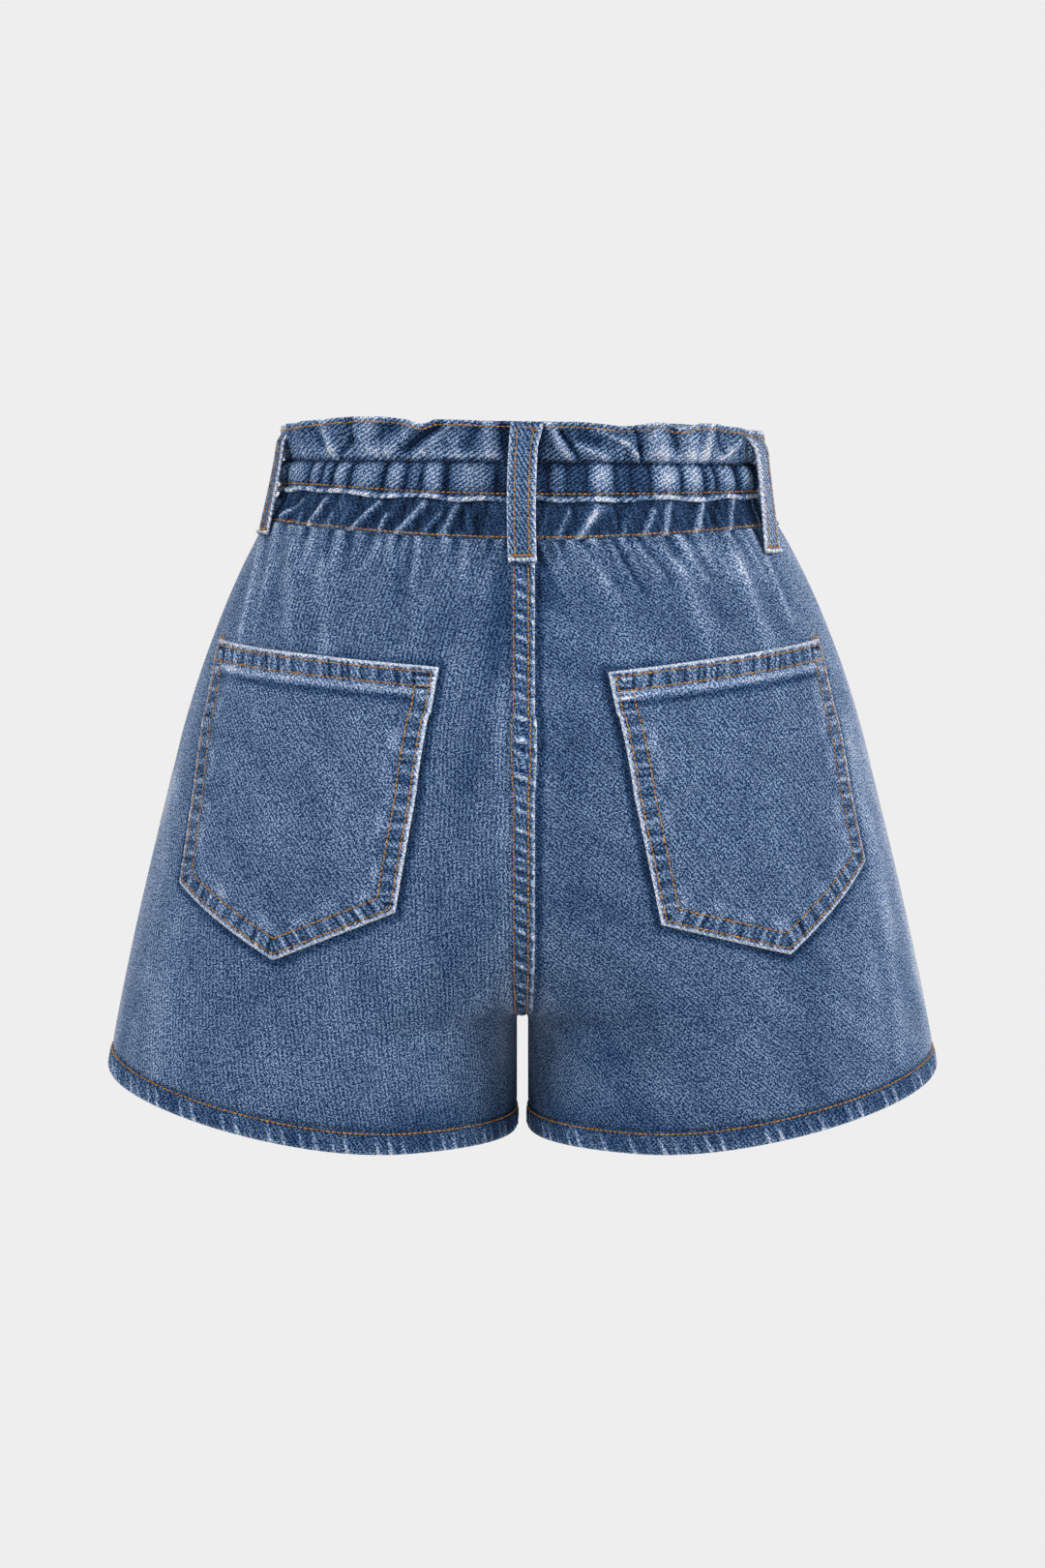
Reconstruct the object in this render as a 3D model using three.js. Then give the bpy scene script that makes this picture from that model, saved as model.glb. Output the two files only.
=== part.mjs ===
// Denim shorts with a paperbag waist, filled out as if worn, with nobody inside.
// The back faces -Y, the wearer's right leg is on +X, and up is +Z. All sizes are millimetres.
// The origin is the middle of the waist, level with the middle of the elastic casing.
// The body is a stack of level sections. Each side of a section is one rounded lobe, cut off at
// the centre plane above the crotch and whole below it, where it is a leg. Every piece of cloth
// is a wall whose two faces are the body's surface moved out along its own normal.
import * as THREE from 'three';

// Cloth
const CLOTH = 1.4;
const HEM_CLOTH = 2.6;
const LOOP_CLOTH = 1.8;
const SEAM_GAP = 0.3;
const ON_TOP = 0.6;

// Heights of the seams
const FRILL_TOP = 29.3;
const GATHER_SEAM = 9;
const CASING_STITCH = -7;
const CASING_EDGE = -11.4;
const CASING_RISE_AT_SIDE = 2.5;
const BAND_SEAM = -31;
const BAND_RISE_AT_SIDE = 7.7;
const CROTCH = -286;
const HALF_SLIT = 3;
const SLIT_ROUNDING = 4;
const HEM_HEIGHT = 12.5;
const HEM_MIDDLE = -332.3;
const HEM_CURVE = 17.3;
const HEM_CURVE_LENGTH = 230;
const WAIST_TILT = 0.0095;
const TILT_GONE_BELOW = -110;

// Body sections: half width, how far the back and the front stand from the side seams
const LOBE_POWER = 2.25;
const WIDTHS = [
  { z: 30, half: 127 }, { z: 0, half: 128 }, { z: -12, half: 131 }, { z: -26, half: 139 },
  { z: -34, half: 143.5 }, { z: -55, half: 154 }, { z: -81, half: 165 }, { z: -107, half: 174.5 },
  { z: -133, half: 182.5 }, { z: -159, half: 189 }, { z: -211, half: 202 }, { z: -264, half: 214 },
  { z: -317, half: 224 }, { z: -350, half: 229 },
];
const DEPTHS = [
  { z: 30, back: 89, front: 87 }, { z: 0, back: 90, front: 88 }, { z: -34, back: 97, front: 92 },
  { z: -81, back: 112, front: 97 }, { z: -133, back: 121, front: 100 },
  { z: -180, back: 122, front: 101 }, { z: -230, back: 116, front: 98 },
  { z: -286, back: 107, front: 94 }, { z: -350, back: 101, front: 90 },
];
// Where a lobe's inner end lies: across the centre plane above the crotch, past it in the legs
const INNER_ENDS = [
  { z: -120, inner: -178 }, { z: -160, inner: -166 }, { z: -200, inner: -128 },
  { z: -240, inner: -79 }, { z: -261, inner: -39 }, { z: -276, inner: -15 },
  { z: CROTCH, inner: HALF_SLIT }, { z: -350, inner: HALF_SLIT },
];
// Where each side's lobe is deepest, from the centre plane
const LOBE_MIDDLES = [
  { z: -120, x: 0 }, { z: -160, x: 11 }, { z: -200, x: 35 }, { z: -240, x: 67 },
  { z: -264, x: 87 }, { z: -286, x: 102 }, { z: -310, x: 112 }, { z: -350, x: 116 },
];
// Half width of the soft web of cloth that rounds the cleft at the centre seam
const WEBS = [
  { z: -250, half: 10 }, { z: -276, half: 5 }, { z: CROTCH, half: HALF_SLIT },
  { z: CROTCH - SLIT_ROUNDING, half: 0 },
];

// Creases of the elastic casing across the back, from left to right: place, depth and lean
const CASING_CREASES = [
  { x: -122, deep: 2.0, lean: 0.3 }, { x: -109.5, deep: 1.6, lean: 0.35 },
  { x: -103, deep: 1.5, lean: 0.35 }, { x: -97, deep: 2.4, lean: 0.35 },
  { x: -88, deep: 1.5, lean: 0.25 }, { x: -70, deep: 2.2, lean: 0.2 },
  { x: -58.5, deep: 1.6, lean: 0.2 }, { x: -51, deep: 1.8, lean: 0.15 },
  { x: -38.5, deep: 2.0, lean: 0.1 }, { x: -13, deep: 2.3, lean: 0 },
  { x: 13, deep: 1.2, lean: 0 }, { x: 22, deep: 1.4, lean: 0 }, { x: 32.5, deep: 2.0, lean: 0 },
  { x: 46.5, deep: 2.0, lean: 0 }, { x: 55, deep: 1.2, lean: 0 },
  { x: 65.3, deep: 2.0, lean: -0.05 }, { x: 80.7, deep: 2.1, lean: -0.1 },
  { x: 92.8, deep: 2.0, lean: -0.1 }, { x: 98.6, deep: 1.7, lean: -0.2 },
  { x: 110, deep: 2.0, lean: -0.3 }, { x: 120, deep: 1.8, lean: -0.3 },
];
// Ridges of the gathered band below it, which slant, from left to right
const BAND_RIDGES = [
  { x: -118, high: 1.6, lean: 0.2 }, { x: -112, high: 1.7, lean: 0.5 },
  { x: -101, high: 1.5, lean: 0.3 }, { x: -94, high: 1.9, lean: 0.3 },
  { x: -86, high: 1.2, lean: 0 }, { x: -78, high: 1.3, lean: 0 },
  { x: -67.7, high: 2.1, lean: 0.8 }, { x: -56, high: 1.6, lean: 0.4 },
  { x: -43.4, high: 2.1, lean: 0.75 }, { x: -36, high: 1.4, lean: 0.5 },
  { x: -26, high: 1.7, lean: 0.4 }, { x: -10, high: 1.2, lean: 0 },
  { x: 14.7, high: 1.5, lean: 0.4 }, { x: 31, high: 2.1, lean: 0.45 },
  { x: 42, high: 1.3, lean: 0.3 }, { x: 52, high: 1.7, lean: 0.6 },
  { x: 64, high: 2.1, lean: 0.4 }, { x: 77, high: 1.3, lean: 0.3 },
  { x: 87, high: 2.0, lean: 0.45 }, { x: 98, high: 1.9, lean: 0.45 },
  { x: 106, high: 1.5, lean: 0.3 }, { x: 114, high: 1.8, lean: 0.05 },
];
// Waves of the frill across the back: crest of each wave, how far it stands out, its lean
const FRILL_WAVES = [
  { x: -114, high: 2.6, lean: 0.1 }, { x: -98, high: 3.0, lean: 0.4 },
  { x: -78, high: 3.2, lean: -0.6 }, { x: -60, high: 2.4, lean: -0.8 },
  { x: -44, high: 2.8, lean: -0.6 }, { x: -24, high: 2.6, lean: -0.3 },
  { x: -4, high: 1.6, lean: 0 }, { x: 17, high: 3.2, lean: 0.5 }, { x: 33, high: 2.6, lean: 0.6 },
  { x: 50, high: 3.4, lean: 0.7 }, { x: 66, high: 3.0, lean: 0.1 },
  { x: 87, high: 2.8, lean: 0.2 }, { x: 98, high: 2.8, lean: 0 }, { x: 110, high: 2.4, lean: 0 },
];
// Height of the frill's top edge above or below FRILL_TOP, across the back
const FRILL_EDGE = [
  { x: -126, rise: -2.2 }, { x: -103, rise: 0.7 }, { x: -79, rise: 2.3 }, { x: -59, rise: 0.7 },
  { x: -51, rise: -1.5 }, { x: -44, rise: 0.9 }, { x: -12, rise: 0.2 }, { x: 30, rise: 0 },
  { x: 52, rise: -1.8 }, { x: 70, rise: 0.3 }, { x: 81, rise: -2.1 }, { x: 93, rise: 0.3 },
  { x: 110, rise: -1.6 }, { x: 126, rise: -4 },
];
// Soft folds that hang from the band: place at the band, lean, length, half width and height
const HANGING_FOLDS = [
  { x: -118, lean: 0.05, long: 75, wide: 8, high: 1.9 },
  { x: -99, lean: 0.05, long: 60, wide: 8, high: 1.6 },
  { x: -66, lean: -0.1, long: 45, wide: 9, high: 1.2 },
  { x: -38, lean: 0.15, long: 60, wide: 10, high: 1.4 },
  { x: 36, lean: 0.35, long: 70, wide: 9, high: 1.5 },
  { x: 62, lean: 0.3, long: 60, wide: 8, high: 1.4 },
  { x: 86, lean: 0.3, long: 90, wide: 9, high: 2.0 },
  { x: 108, lean: 0.35, long: 70, wide: 8, high: 1.8 },
];

// Back pockets: corners by the cloth's distance from the centre back seam and by height
const POCKETS = {
  left: {
    topIn: { c: 42.5, z: -95.5 }, topOut: { c: 184, z: -84.5 },
    lowOut: { c: 192, z: -210 }, tip: { c: 129, z: -246 }, lowIn: { c: 65, z: -220 },
  },
  right: {
    topIn: { c: 43.5, z: -98 }, topOut: { c: 175, z: -83.5 },
    lowOut: { c: 194, z: -199 }, tip: { c: 139, z: -243.5 }, lowIn: { c: 71, z: -226.5 },
  },
};

// Belt loops: the cloth's distance from the centre back at the loop's top and low end, the
// height of its low end, and how far it bows out of the straight line between them, or sags in
const LOOP_WIDTH = 14.5;
const BELT_LOOPS = [
  { name: 'belt_loop_back', half: 1, topC: 0, lowC: 0, lowZ: -43.5, bow: 4.5 },
  { name: 'belt_loop_left', half: -1, topC: 148, lowC: 160, lowZ: -31, bow: -1.5 },
  { name: 'belt_loop_right', half: 1, topC: 138, lowC: 144, lowZ: -38.5, bow: -1 },
  { name: 'belt_loop_front_left', half: -1, topC: 284, lowC: 321, lowZ: -38, bow: 4.5 },
  { name: 'belt_loop_front_right', half: 1, topC: 284, lowC: 321, lowZ: -38, bow: 4.5 },
];

// The centre back seam is folded over to the right: its left and right edge on the cloth
const BACK_SEAM = { left: 5.7, right: 6.3 };
const SIDE_SEAM_FORWARD = 8;

// Colours of the washed denim
const DENIM = 0x54698a;
const DARK_DENIM = 0x33466a;
const PALE_DENIM = 0x6f82a3;

const clamp = (v, low, high) => Math.min(high, Math.max(low, v));
const lerp = (a, b, t) => a + (b - a) * t;
const smooth = (t) => {
  const s = clamp(t, 0, 1);
  return s * s * (3 - 2 * s);
};
const bell = (t) => Math.exp(-t * t);

// A smooth curve through a table's rows that never overshoots them.
function curve(rows, key, value) {
  const r = [...rows].sort((a, b) => a[key] - b[key]);
  const slope = r.slice(1).map((b, i) => (b[value] - r[i][value]) / (b[key] - r[i][key]));
  const tangent = r.map((_, i) => {
    if (i === 0) return slope[0];
    if (i === r.length - 1) return slope[i - 1];
    const [a, b] = [slope[i - 1], slope[i]];
    return a * b <= 0 ? 0 : (2 * a * b) / (a + b);
  });
  return (at) => {
    const x = clamp(at, r[0][key], r[r.length - 1][key]);
    let i = 0;
    while (i < r.length - 2 && x > r[i + 1][key]) i += 1;
    const h = r[i + 1][key] - r[i][key];
    const t = (x - r[i][key]) / h;
    const [t2, t3] = [t * t, t * t * t];
    return (2 * t3 - 3 * t2 + 1) * r[i][value] + (t3 - 2 * t2 + t) * h * tangent[i]
      + (3 * t2 - 2 * t3) * r[i + 1][value] + (t3 - t2) * h * tangent[i + 1];
  };
}

const halfWidthAt = curve(WIDTHS, 'z', 'half');
const backDepthAt = curve(DEPTHS, 'z', 'back');
const frontDepthAt = curve(DEPTHS, 'z', 'front');
const innerEndAt = curve(INNER_ENDS, 'z', 'inner');
const lobeMiddleAt = curve(LOBE_MIDDLES, 'z', 'x');
const webAt = curve(WEBS, 'z', 'half');
const frillEdgeAt = curve(FRILL_EDGE, 'x', 'rise');

// The right half of the section at height z, from the centre back round the side to the centre
// front, as points with their distance along the cloth. Its lobe has its own reach on each side
// of its middle.
const SECTION_STEPS = 90;
function makeSection(z) {
  const half = halfWidthAt(z);
  const inner = z > INNER_ENDS[0].z ? -half : Math.max(-half, innerEndAt(z));
  const middle = lobeMiddleAt(z);
  const web = webAt(z);
  const cosine = (middle - Math.max(web, inner)) / (middle - inner);
  const start = Math.acos(clamp(Math.sign(cosine) * Math.abs(cosine) ** (LOBE_POWER / 2), -1, 1));
  const quarter = (depth, facing) => Array.from({ length: SECTION_STEPS + 1 }, (_, i) => {
    const eased = (i / SECTION_STEPS) ** 1.5;
    const turn = lerp(start, Math.PI, eased);
    const c = Math.cos(turn);
    const reach = c > 0 ? middle - inner : half - middle;
    const lobe = middle - reach * Math.sign(c) * Math.abs(c) ** (2 / LOBE_POWER);
    const x = Math.sqrt(Math.max(0, lobe * lobe - web * web));
    return { x, y: facing * depth * Math.abs(Math.sin(turn)) ** (2 / LOBE_POWER) };
  });
  const back = quarter(backDepthAt(z), -1);
  const front = quarter(frontDepthAt(z), 1).reverse().slice(1);
  const points = [...back, ...front];
  let c = 0;
  points.forEach((p, i) => {
    if (i > 0) c += Math.hypot(p.x - points[i - 1].x, p.y - points[i - 1].y);
    p.c = c;
  });
  return { points, side: back[SECTION_STEPS].c, whole: c };
}

const kept = new Map();
function section(z) {
  const key = z.toFixed(4);
  if (!kept.has(key)) kept.set(key, makeSection(z));
  return kept.get(key);
}

// The point of the right half at height z and distance c along the cloth from the centre back.
function along(z, c) {
  const { points } = section(z);
  let low = 0;
  let high = points.length - 1;
  while (high - low > 1) {
    const mid = (low + high) >> 1;
    if (points[mid].c <= c) low = mid;
    else high = mid;
  }
  const [a, b] = [points[low], points[high]];
  const t = (c - a.c) / Math.max(1e-9, b.c - a.c);
  return new THREE.Vector3(lerp(a.x, b.x, t), lerp(a.y, b.y, t), z);
}

// The distance along the cloth at which the right half's back or front has this x.
function clothAt(z, x, face) {
  const { points, side, whole } = section(z);
  let [low, high] = face === 'back' ? [0, side] : [side, whole];
  for (let i = 0; i < 40; i += 1) {
    const mid = (low + high) / 2;
    const past = along(z, mid).x > Math.abs(x);
    if (past === (face === 'back')) high = mid;
    else low = mid;
  }
  return points.length ? (low + high) / 2 : 0;
}

// The body's surface on one half, moved out by a distance along its normal.
const STEP = 0.6;
function bodyPoint(half, z, c, out) {
  const p = along(z, c);
  const up = z >= CROTCH ? STEP : -STEP;
  const alongRow = along(z, c + STEP).sub(along(z, c - STEP));
  const alongColumn = along(z + up, c).sub(p).multiplyScalar(Math.sign(up));
  const normal = alongRow.cross(alongColumn).normalize();
  p.addScaledVector(normal, out);
  const fade = smooth((z - TILT_GONE_BELOW) / -TILT_GONE_BELOW);
  p.x = Math.max(p.x, SEAM_GAP / 2) * half;
  p.z -= WAIST_TILT * fade * p.x;
  return p;
}

// Heights of the seams round the waist, by the share of the half round: 0 back, 1 front
const sideRise = (share) => Math.sin(Math.PI * share) ** 2;
const bandSeamAt = (share) => BAND_SEAM + BAND_RISE_AT_SIDE * sideRise(share);
const casingEdgeAt = (share) => CASING_EDGE + CASING_RISE_AT_SIDE * sideRise(share);
const hemAt = (fromSide) => HEM_MIDDLE
  + HEM_CURVE * Math.cos(Math.PI * Math.min(1, Math.abs(fromSide) / HEM_CURVE_LENGTH));

// Turns a table that runs across the back into marks all round the waist. The front repeats it
// from right to left, so that its gathers are alike and not the same.
const WAIST = section(0);
function roundTheWaist(table) {
  const marks = [];
  for (const row of table) {
    const c = clothAt(0, row.x, 'back') * Math.sign(row.x || 1);
    marks.push({ ...row, at: c });
    marks.push({ ...row, at: 2 * WAIST.side - c + (WAIST.whole - 2 * WAIST.side) });
  }
  const whole = 2 * WAIST.whole;
  marks.forEach((m) => { m.at = (m.at + whole) % whole; });
  return marks.sort((a, b) => a.at - b.at);
}

// How far a place on the waist is past the mark before it, as a share of the way to the next.
function between(marks, at, shift) {
  const whole = 2 * WAIST.whole;
  const places = marks.map((m) => m.at + m.lean * shift);
  for (let i = 0; i < marks.length; i += 1) {
    const from = places[i];
    const next = (i + 1) % marks.length;
    const to = places[next] + (next === 0 ? whole : 0);
    const here = at < from ? at + whole : at;
    if (here >= from && here < to) {
      return { share: (here - from) / (to - from), gap: to - from, before: marks[i], after: marks[next] };
    }
  }
  return { share: 0, gap: 1, before: marks[0], after: marks[0] };
}

const creases = roundTheWaist(CASING_CREASES);
const ridges = roundTheWaist(BAND_RIDGES);
const waves = roundTheWaist(FRILL_WAVES);

// The casing's puffs between its creases, flat at both rows of stitches.
const PUFF = 1.5;
function casingOut(at, z) {
  const { share, before, after } = between(creases, at, z);
  const deep = lerp(before.deep, after.deep, share);
  const puff = Math.abs(Math.sin(Math.PI * share)) ** 0.7;
  const span = clamp((z - CASING_STITCH) / (GATHER_SEAM - CASING_STITCH), 0, 1);
  const free = 0.35 + 0.65 * Math.sin(Math.PI * span) ** 0.6;
  return 1.1 + PUFF * Math.sin(Math.PI * span) + free * deep * (puff - 0.55);
}

// The frill's waves, pinched to the gathers at its seam and widest at its edge.
const FRILL_FLARE = 3.2;
function frillOut(at, z) {
  const high = clamp((z - GATHER_SEAM) / (FRILL_TOP - GATHER_SEAM), 0, 1.2);
  const wave = between(waves, at, z - GATHER_SEAM);
  const crest = lerp(wave.before.high, wave.after.high, wave.share);
  const big = crest * (Math.cos(2 * Math.PI * wave.share) * 0.5);
  const pinch = between(creases, at, 0);
  const small = 1.1 * (Math.abs(Math.sin(Math.PI * pinch.share)) - 0.6);
  return 0.4 + FRILL_FLARE * Math.sin(Math.min(high, 1) * Math.PI * 0.5)
    + big * smooth(high * 1.6) + small * (1 - smooth(high * 1.8));
}

// The band's slanting ridges.
function bandOut(at, z) {
  const middle = (BAND_SEAM + CASING_EDGE) / 2;
  const { share, before, after } = between(ridges, at, z - middle);
  const high = lerp(before.high, after.high, share);
  return 0.3 + high * (Math.abs(Math.cos(Math.PI * share)) ** 1.6 - 0.45);
}

// The soft folds that fall from the band into the panels.
function foldOut(half, z, c) {
  const top = bandSeamAt(0);
  const x = along(z, c).x * half;
  const isFront = c > section(z).side;
  return HANGING_FOLDS.reduce((sum, f) => {
    const drop = top - z;
    const place = (isFront ? -f.x : f.x) + f.lean * drop;
    const fade = smooth(1 - drop / f.long) * smooth((drop + 4) / 8);
    return sum + f.high * fade * bell((x - place) / f.wide);
  }, 0);
}

// One closed wall of cloth from its outer and inner grid of points. Rows run down and columns run
// anticlockwise seen from above. On a ring the last column joins the first.
function wall(name, colour, outer, inner, ring) {
  const rows = outer.length;
  const columns = outer[0].length;
  const position = [...outer.flat(), ...inner.flat()].flatMap((p) => [p.x, p.y, p.z]);
  const o = (i, j) => i * columns + (j % columns);
  const n = (i, j) => rows * columns + o(i, j);
  const faces = [];
  const last = ring ? columns : columns - 1;
  for (let i = 0; i < rows - 1; i += 1) {
    for (let j = 0; j < last; j += 1) {
      faces.push(o(i, j), o(i + 1, j), o(i, j + 1), o(i, j + 1), o(i + 1, j), o(i + 1, j + 1));
      faces.push(n(i, j), n(i, j + 1), n(i + 1, j), n(i, j + 1), n(i + 1, j + 1), n(i + 1, j));
    }
  }
  for (let j = 0; j < last; j += 1) {
    const b = rows - 1;
    faces.push(o(0, j), o(0, j + 1), n(0, j), o(0, j + 1), n(0, j + 1), n(0, j));
    faces.push(o(b, j + 1), o(b, j), n(b, j), o(b, j + 1), n(b, j), n(b, j + 1));
  }
  if (!ring) {
    const e = columns - 1;
    for (let i = 0; i < rows - 1; i += 1) {
      faces.push(o(i + 1, 0), o(i, 0), n(i, 0), o(i + 1, 0), n(i, 0), n(i + 1, 0));
      faces.push(o(i, e), o(i + 1, e), n(i, e), o(i + 1, e), n(i + 1, e), n(i, e));
    }
  }
  const geometry = new THREE.BufferGeometry();
  geometry.setAttribute('position', new THREE.Float32BufferAttribute(position, 3));
  geometry.setIndex(faces);
  geometry.computeVertexNormals();
  const mesh = new THREE.Mesh(
    geometry,
    new THREE.MeshStandardMaterial({ color: colour, roughness: 0.92, metalness: 0 }),
  );
  mesh.name = name;
  return mesh;
}

// A ring round the waist. Each column is a place along the waist, each row a height there.
function waistRing(name, colour, places, rowHeights, outAt) {
  const face = (depth) => rowHeights.map((heightAt) => places.map((at) => {
    const half = at <= WAIST.whole ? 1 : -1;
    const share = half > 0 ? at / WAIST.whole : 2 - at / WAIST.whole;
    const x = along(0, share * WAIST.whole).x * half;
    const isFront = share * WAIST.whole > WAIST.side;
    const z = heightAt(share, isFront ? -x : x);
    const c = clamp(share * section(z).whole, 0.01, section(z).whole - 0.01);
    const p = bodyPoint(half, z, c, outAt(at, z) - depth);
    return p;
  }));
  return wall(name, colour, face(0), face(CLOTH), true);
}

// Places round the waist: so many columns in each stretch between two marks.
function ringPlaces(marks, each) {
  const whole = 2 * WAIST.whole;
  return marks.flatMap((m, i) => {
    const next = marks[(i + 1) % marks.length].at + (i + 1 === marks.length ? whole : 0);
    return Array.from({ length: each }, (_, k) => (m.at + ((next - m.at) * k) / each) % whole);
  }).sort((a, b) => a - b);
}

// Frill and elastic casing: one strip of denim, folded over and stitched along its gathers.
function makeWaistband() {
  const waistOut = (at, z) => {
    const blend = smooth((z - GATHER_SEAM + 1.5) / 3);
    return lerp(casingOut(at, z), frillOut(at, z), blend);
  };
  const rows = [
    (share, x) => FRILL_TOP + frillEdgeAt(x),
    (share, x) => lerp(GATHER_SEAM, FRILL_TOP, 0.55) + frillEdgeAt(x) * 0.5,
    () => GATHER_SEAM + 3.5,
    () => GATHER_SEAM,
    () => GATHER_SEAM - 3.5,
    () => lerp(CASING_STITCH, GATHER_SEAM, 0.35),
    (share) => casingEdgeAt(share) + 4,
    casingEdgeAt,
  ];
  return waistRing('waistband', DENIM, ringPlaces(creases, 4), rows, waistOut);
}

// The gathered band between the casing and the panels.
function makeUnderBand() {
  const rows = [
    (share) => casingEdgeAt(share) - SEAM_GAP,
    (share) => lerp(casingEdgeAt(share), bandSeamAt(share), 0.5),
    (share) => bandSeamAt(share) + SEAM_GAP,
  ];
  return waistRing('under_band', DARK_DENIM, ringPlaces(ridges, 4), rows, bandOut);
}

// Rows of a panel, as shares of the way down, closer together at the gathers and at the crotch
const PANEL_ROWS = [
  0, 0.03, 0.07, 0.12, 0.19, 0.28, 0.38, 0.49, 0.6, 0.69, 0.75, 0.79, 0.815, 0.83, 0.845, 0.91, 1,
];
// Columns of a panel, as shares of the way from the centre seam and inseam to the side seam
const BACK_COLUMNS = [
  0, 0.013, 0.028, 0.06, 0.1, 0.15, 0.2, 0.25, 0.3, 0.35, 0.4, 0.45, 0.5, 0.55, 0.6, 0.65, 0.7,
  0.75, 0.8, 0.85, 0.9, 0.95, 1,
];
const FRONT_COLUMNS = [
  0, 0.06, 0.12, 0.18, 0.24, 0.3, 0.36, 0.42, 0.48, 0.54, 0.6, 0.66, 0.72, 0.78, 0.84, 0.9, 0.95, 1,
];

// The cell of a list of shares that holds a value, and how far across that cell it lies.
function cellOf(shares, value) {
  let i = 0;
  while (i < shares.length - 2 && value > shares[i + 1]) i += 1;
  return { i, t: (value - shares[i]) / (shares[i + 1] - shares[i]) };
}

// One panel's faceted outer face. The panel is built from it, and so is all that lies on it.
function panelSkin(half, face) {
  const isBack = face === 'back';
  const columns = isBack ? BACK_COLUMNS : FRONT_COLUMNS;
  const ends = (z) => {
    const seam = section(z).side + SIDE_SEAM_FORWARD;
    return isBack
      ? [SEAM_GAP / 2, seam - SEAM_GAP / 2]
      : [seam + SEAM_GAP / 2, section(z).whole - SEAM_GAP / 2];
  };
  const place = (z, u) => lerp(...ends(z), u);
  const top = (u) => bandSeamAt(place(BAND_SEAM, u) / section(BAND_SEAM).whole);
  const bottom = (u) => hemAt(place(HEM_MIDDLE, u) - section(HEM_MIDDLE).side)
    + HEM_HEIGHT + SEAM_GAP;
  const points = (out) => PANEL_ROWS.map((v) => columns.map((u) => {
    const z = lerp(top(u), bottom(u), v);
    const c = place(z, u);
    return bodyPoint(half, z, c, foldOut(half, z, c) + out);
  }));
  const outer = points(0);
  const raised = points(1);
  const onFace = (z, c, out) => {
    const [from, to] = ends(z);
    const u = (c - from) / (to - from);
    const v = (z - top(u)) / (bottom(u) - top(u));
    const row = cellOf(PANEL_ROWS, v);
    const column = cellOf(columns, u);
    const [i, j, down, over] = [row.i, column.i, row.t, column.t];
    const mix = (net) => {
      const [a, b, d, e] = [net[i][j], net[i][j + 1], net[i + 1][j], net[i + 1][j + 1]];
      const at = (corner, one, two, s, t) => corner.clone()
        .addScaledVector(one.clone().sub(corner), s)
        .addScaledVector(two.clone().sub(corner), t);
      if (half > 0) return down + over < 1 ? at(a, b, d, over, down) : at(e, d, b, 1 - over, 1 - down);
      return down < over ? at(b, a, e, 1 - over, down) : at(d, e, a, over, 1 - down);
    };
    const base = mix(outer);
    return base.clone().addScaledVector(mix(raised).sub(base), out);
  };
  return { outer, inner: points(-CLOTH), onFace };
}

const SKINS = {
  back: { left: panelSkin(-1, 'back'), right: panelSkin(1, 'back') },
  front: { left: panelSkin(-1, 'front'), right: panelSkin(1, 'front') },
};
const turned = (net, side) => (side === 'left' ? net.map((row) => [...row].reverse()) : net);

// One trouser panel, from the centre seam and the inseam to the side seam, down to the hem.
function makePanel(side, face) {
  const { outer, inner } = SKINS[face][side];
  const colour = face === 'back' ? DENIM : PALE_DENIM;
  return wall(`${face}_panel_${side}`, colour, turned(outer, side), turned(inner, side), false);
}

// The turned-up hem of one leg, a ring of cloth folded three times.
function makeHem(name, half, columns) {
  const made = (out) => [HEM_HEIGHT, HEM_HEIGHT / 2, 0].map((above) => {
    const row = Array.from({ length: columns }, (_, j) => {
      const { side, whole } = section(HEM_MIDDLE);
      const c = clamp((whole * j) / columns, 0.01, whole - 0.01);
      const z = hemAt(c - side) + above;
      return bodyPoint(half, z, clamp(c * (section(z).whole / whole), 0.01, section(z).whole), out);
    });
    return half < 0 ? row.reverse() : row;
  });
  return wall(name, DARK_DENIM, made(0), made(-HEM_CLOTH), true);
}

// The centre back seam: the left panel's edge folded over the right one and sewn down twice.
// Its rows are the panels' own and one between each two, so that it turns where they turn.
const SEAM_ROWS_END = 11;
function makeBackSeam() {
  const high = bandSeamAt(0) - 1;
  const low = hemAt(section(HEM_MIDDLE).side) + HEM_HEIGHT + SEAM_GAP;
  const heights = PANEL_ROWS.slice(0, SEAM_ROWS_END).flatMap((v, i) => {
    const next = PANEL_ROWS[i + 1];
    return [v, lerp(v, next, 0.5)].map((share) => lerp(bandSeamAt(0), low, share));
  });
  heights[0] = high;
  heights.push(lerp(bandSeamAt(0), low, PANEL_ROWS[SEAM_ROWS_END]));
  const across = [-BACK_SEAM.left, -BACK_SEAM.left / 2, 0.2, BACK_SEAM.right / 2, BACK_SEAM.right];
  const made = (out) => heights.map((z) => across.map((x) => (
    SKINS.back[x < 0 ? 'left' : 'right'].onFace(z, Math.abs(x), ON_TOP + out)
  )));
  return wall('back_seam', PALE_DENIM, made(CLOTH), made(0), false);
}

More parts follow.
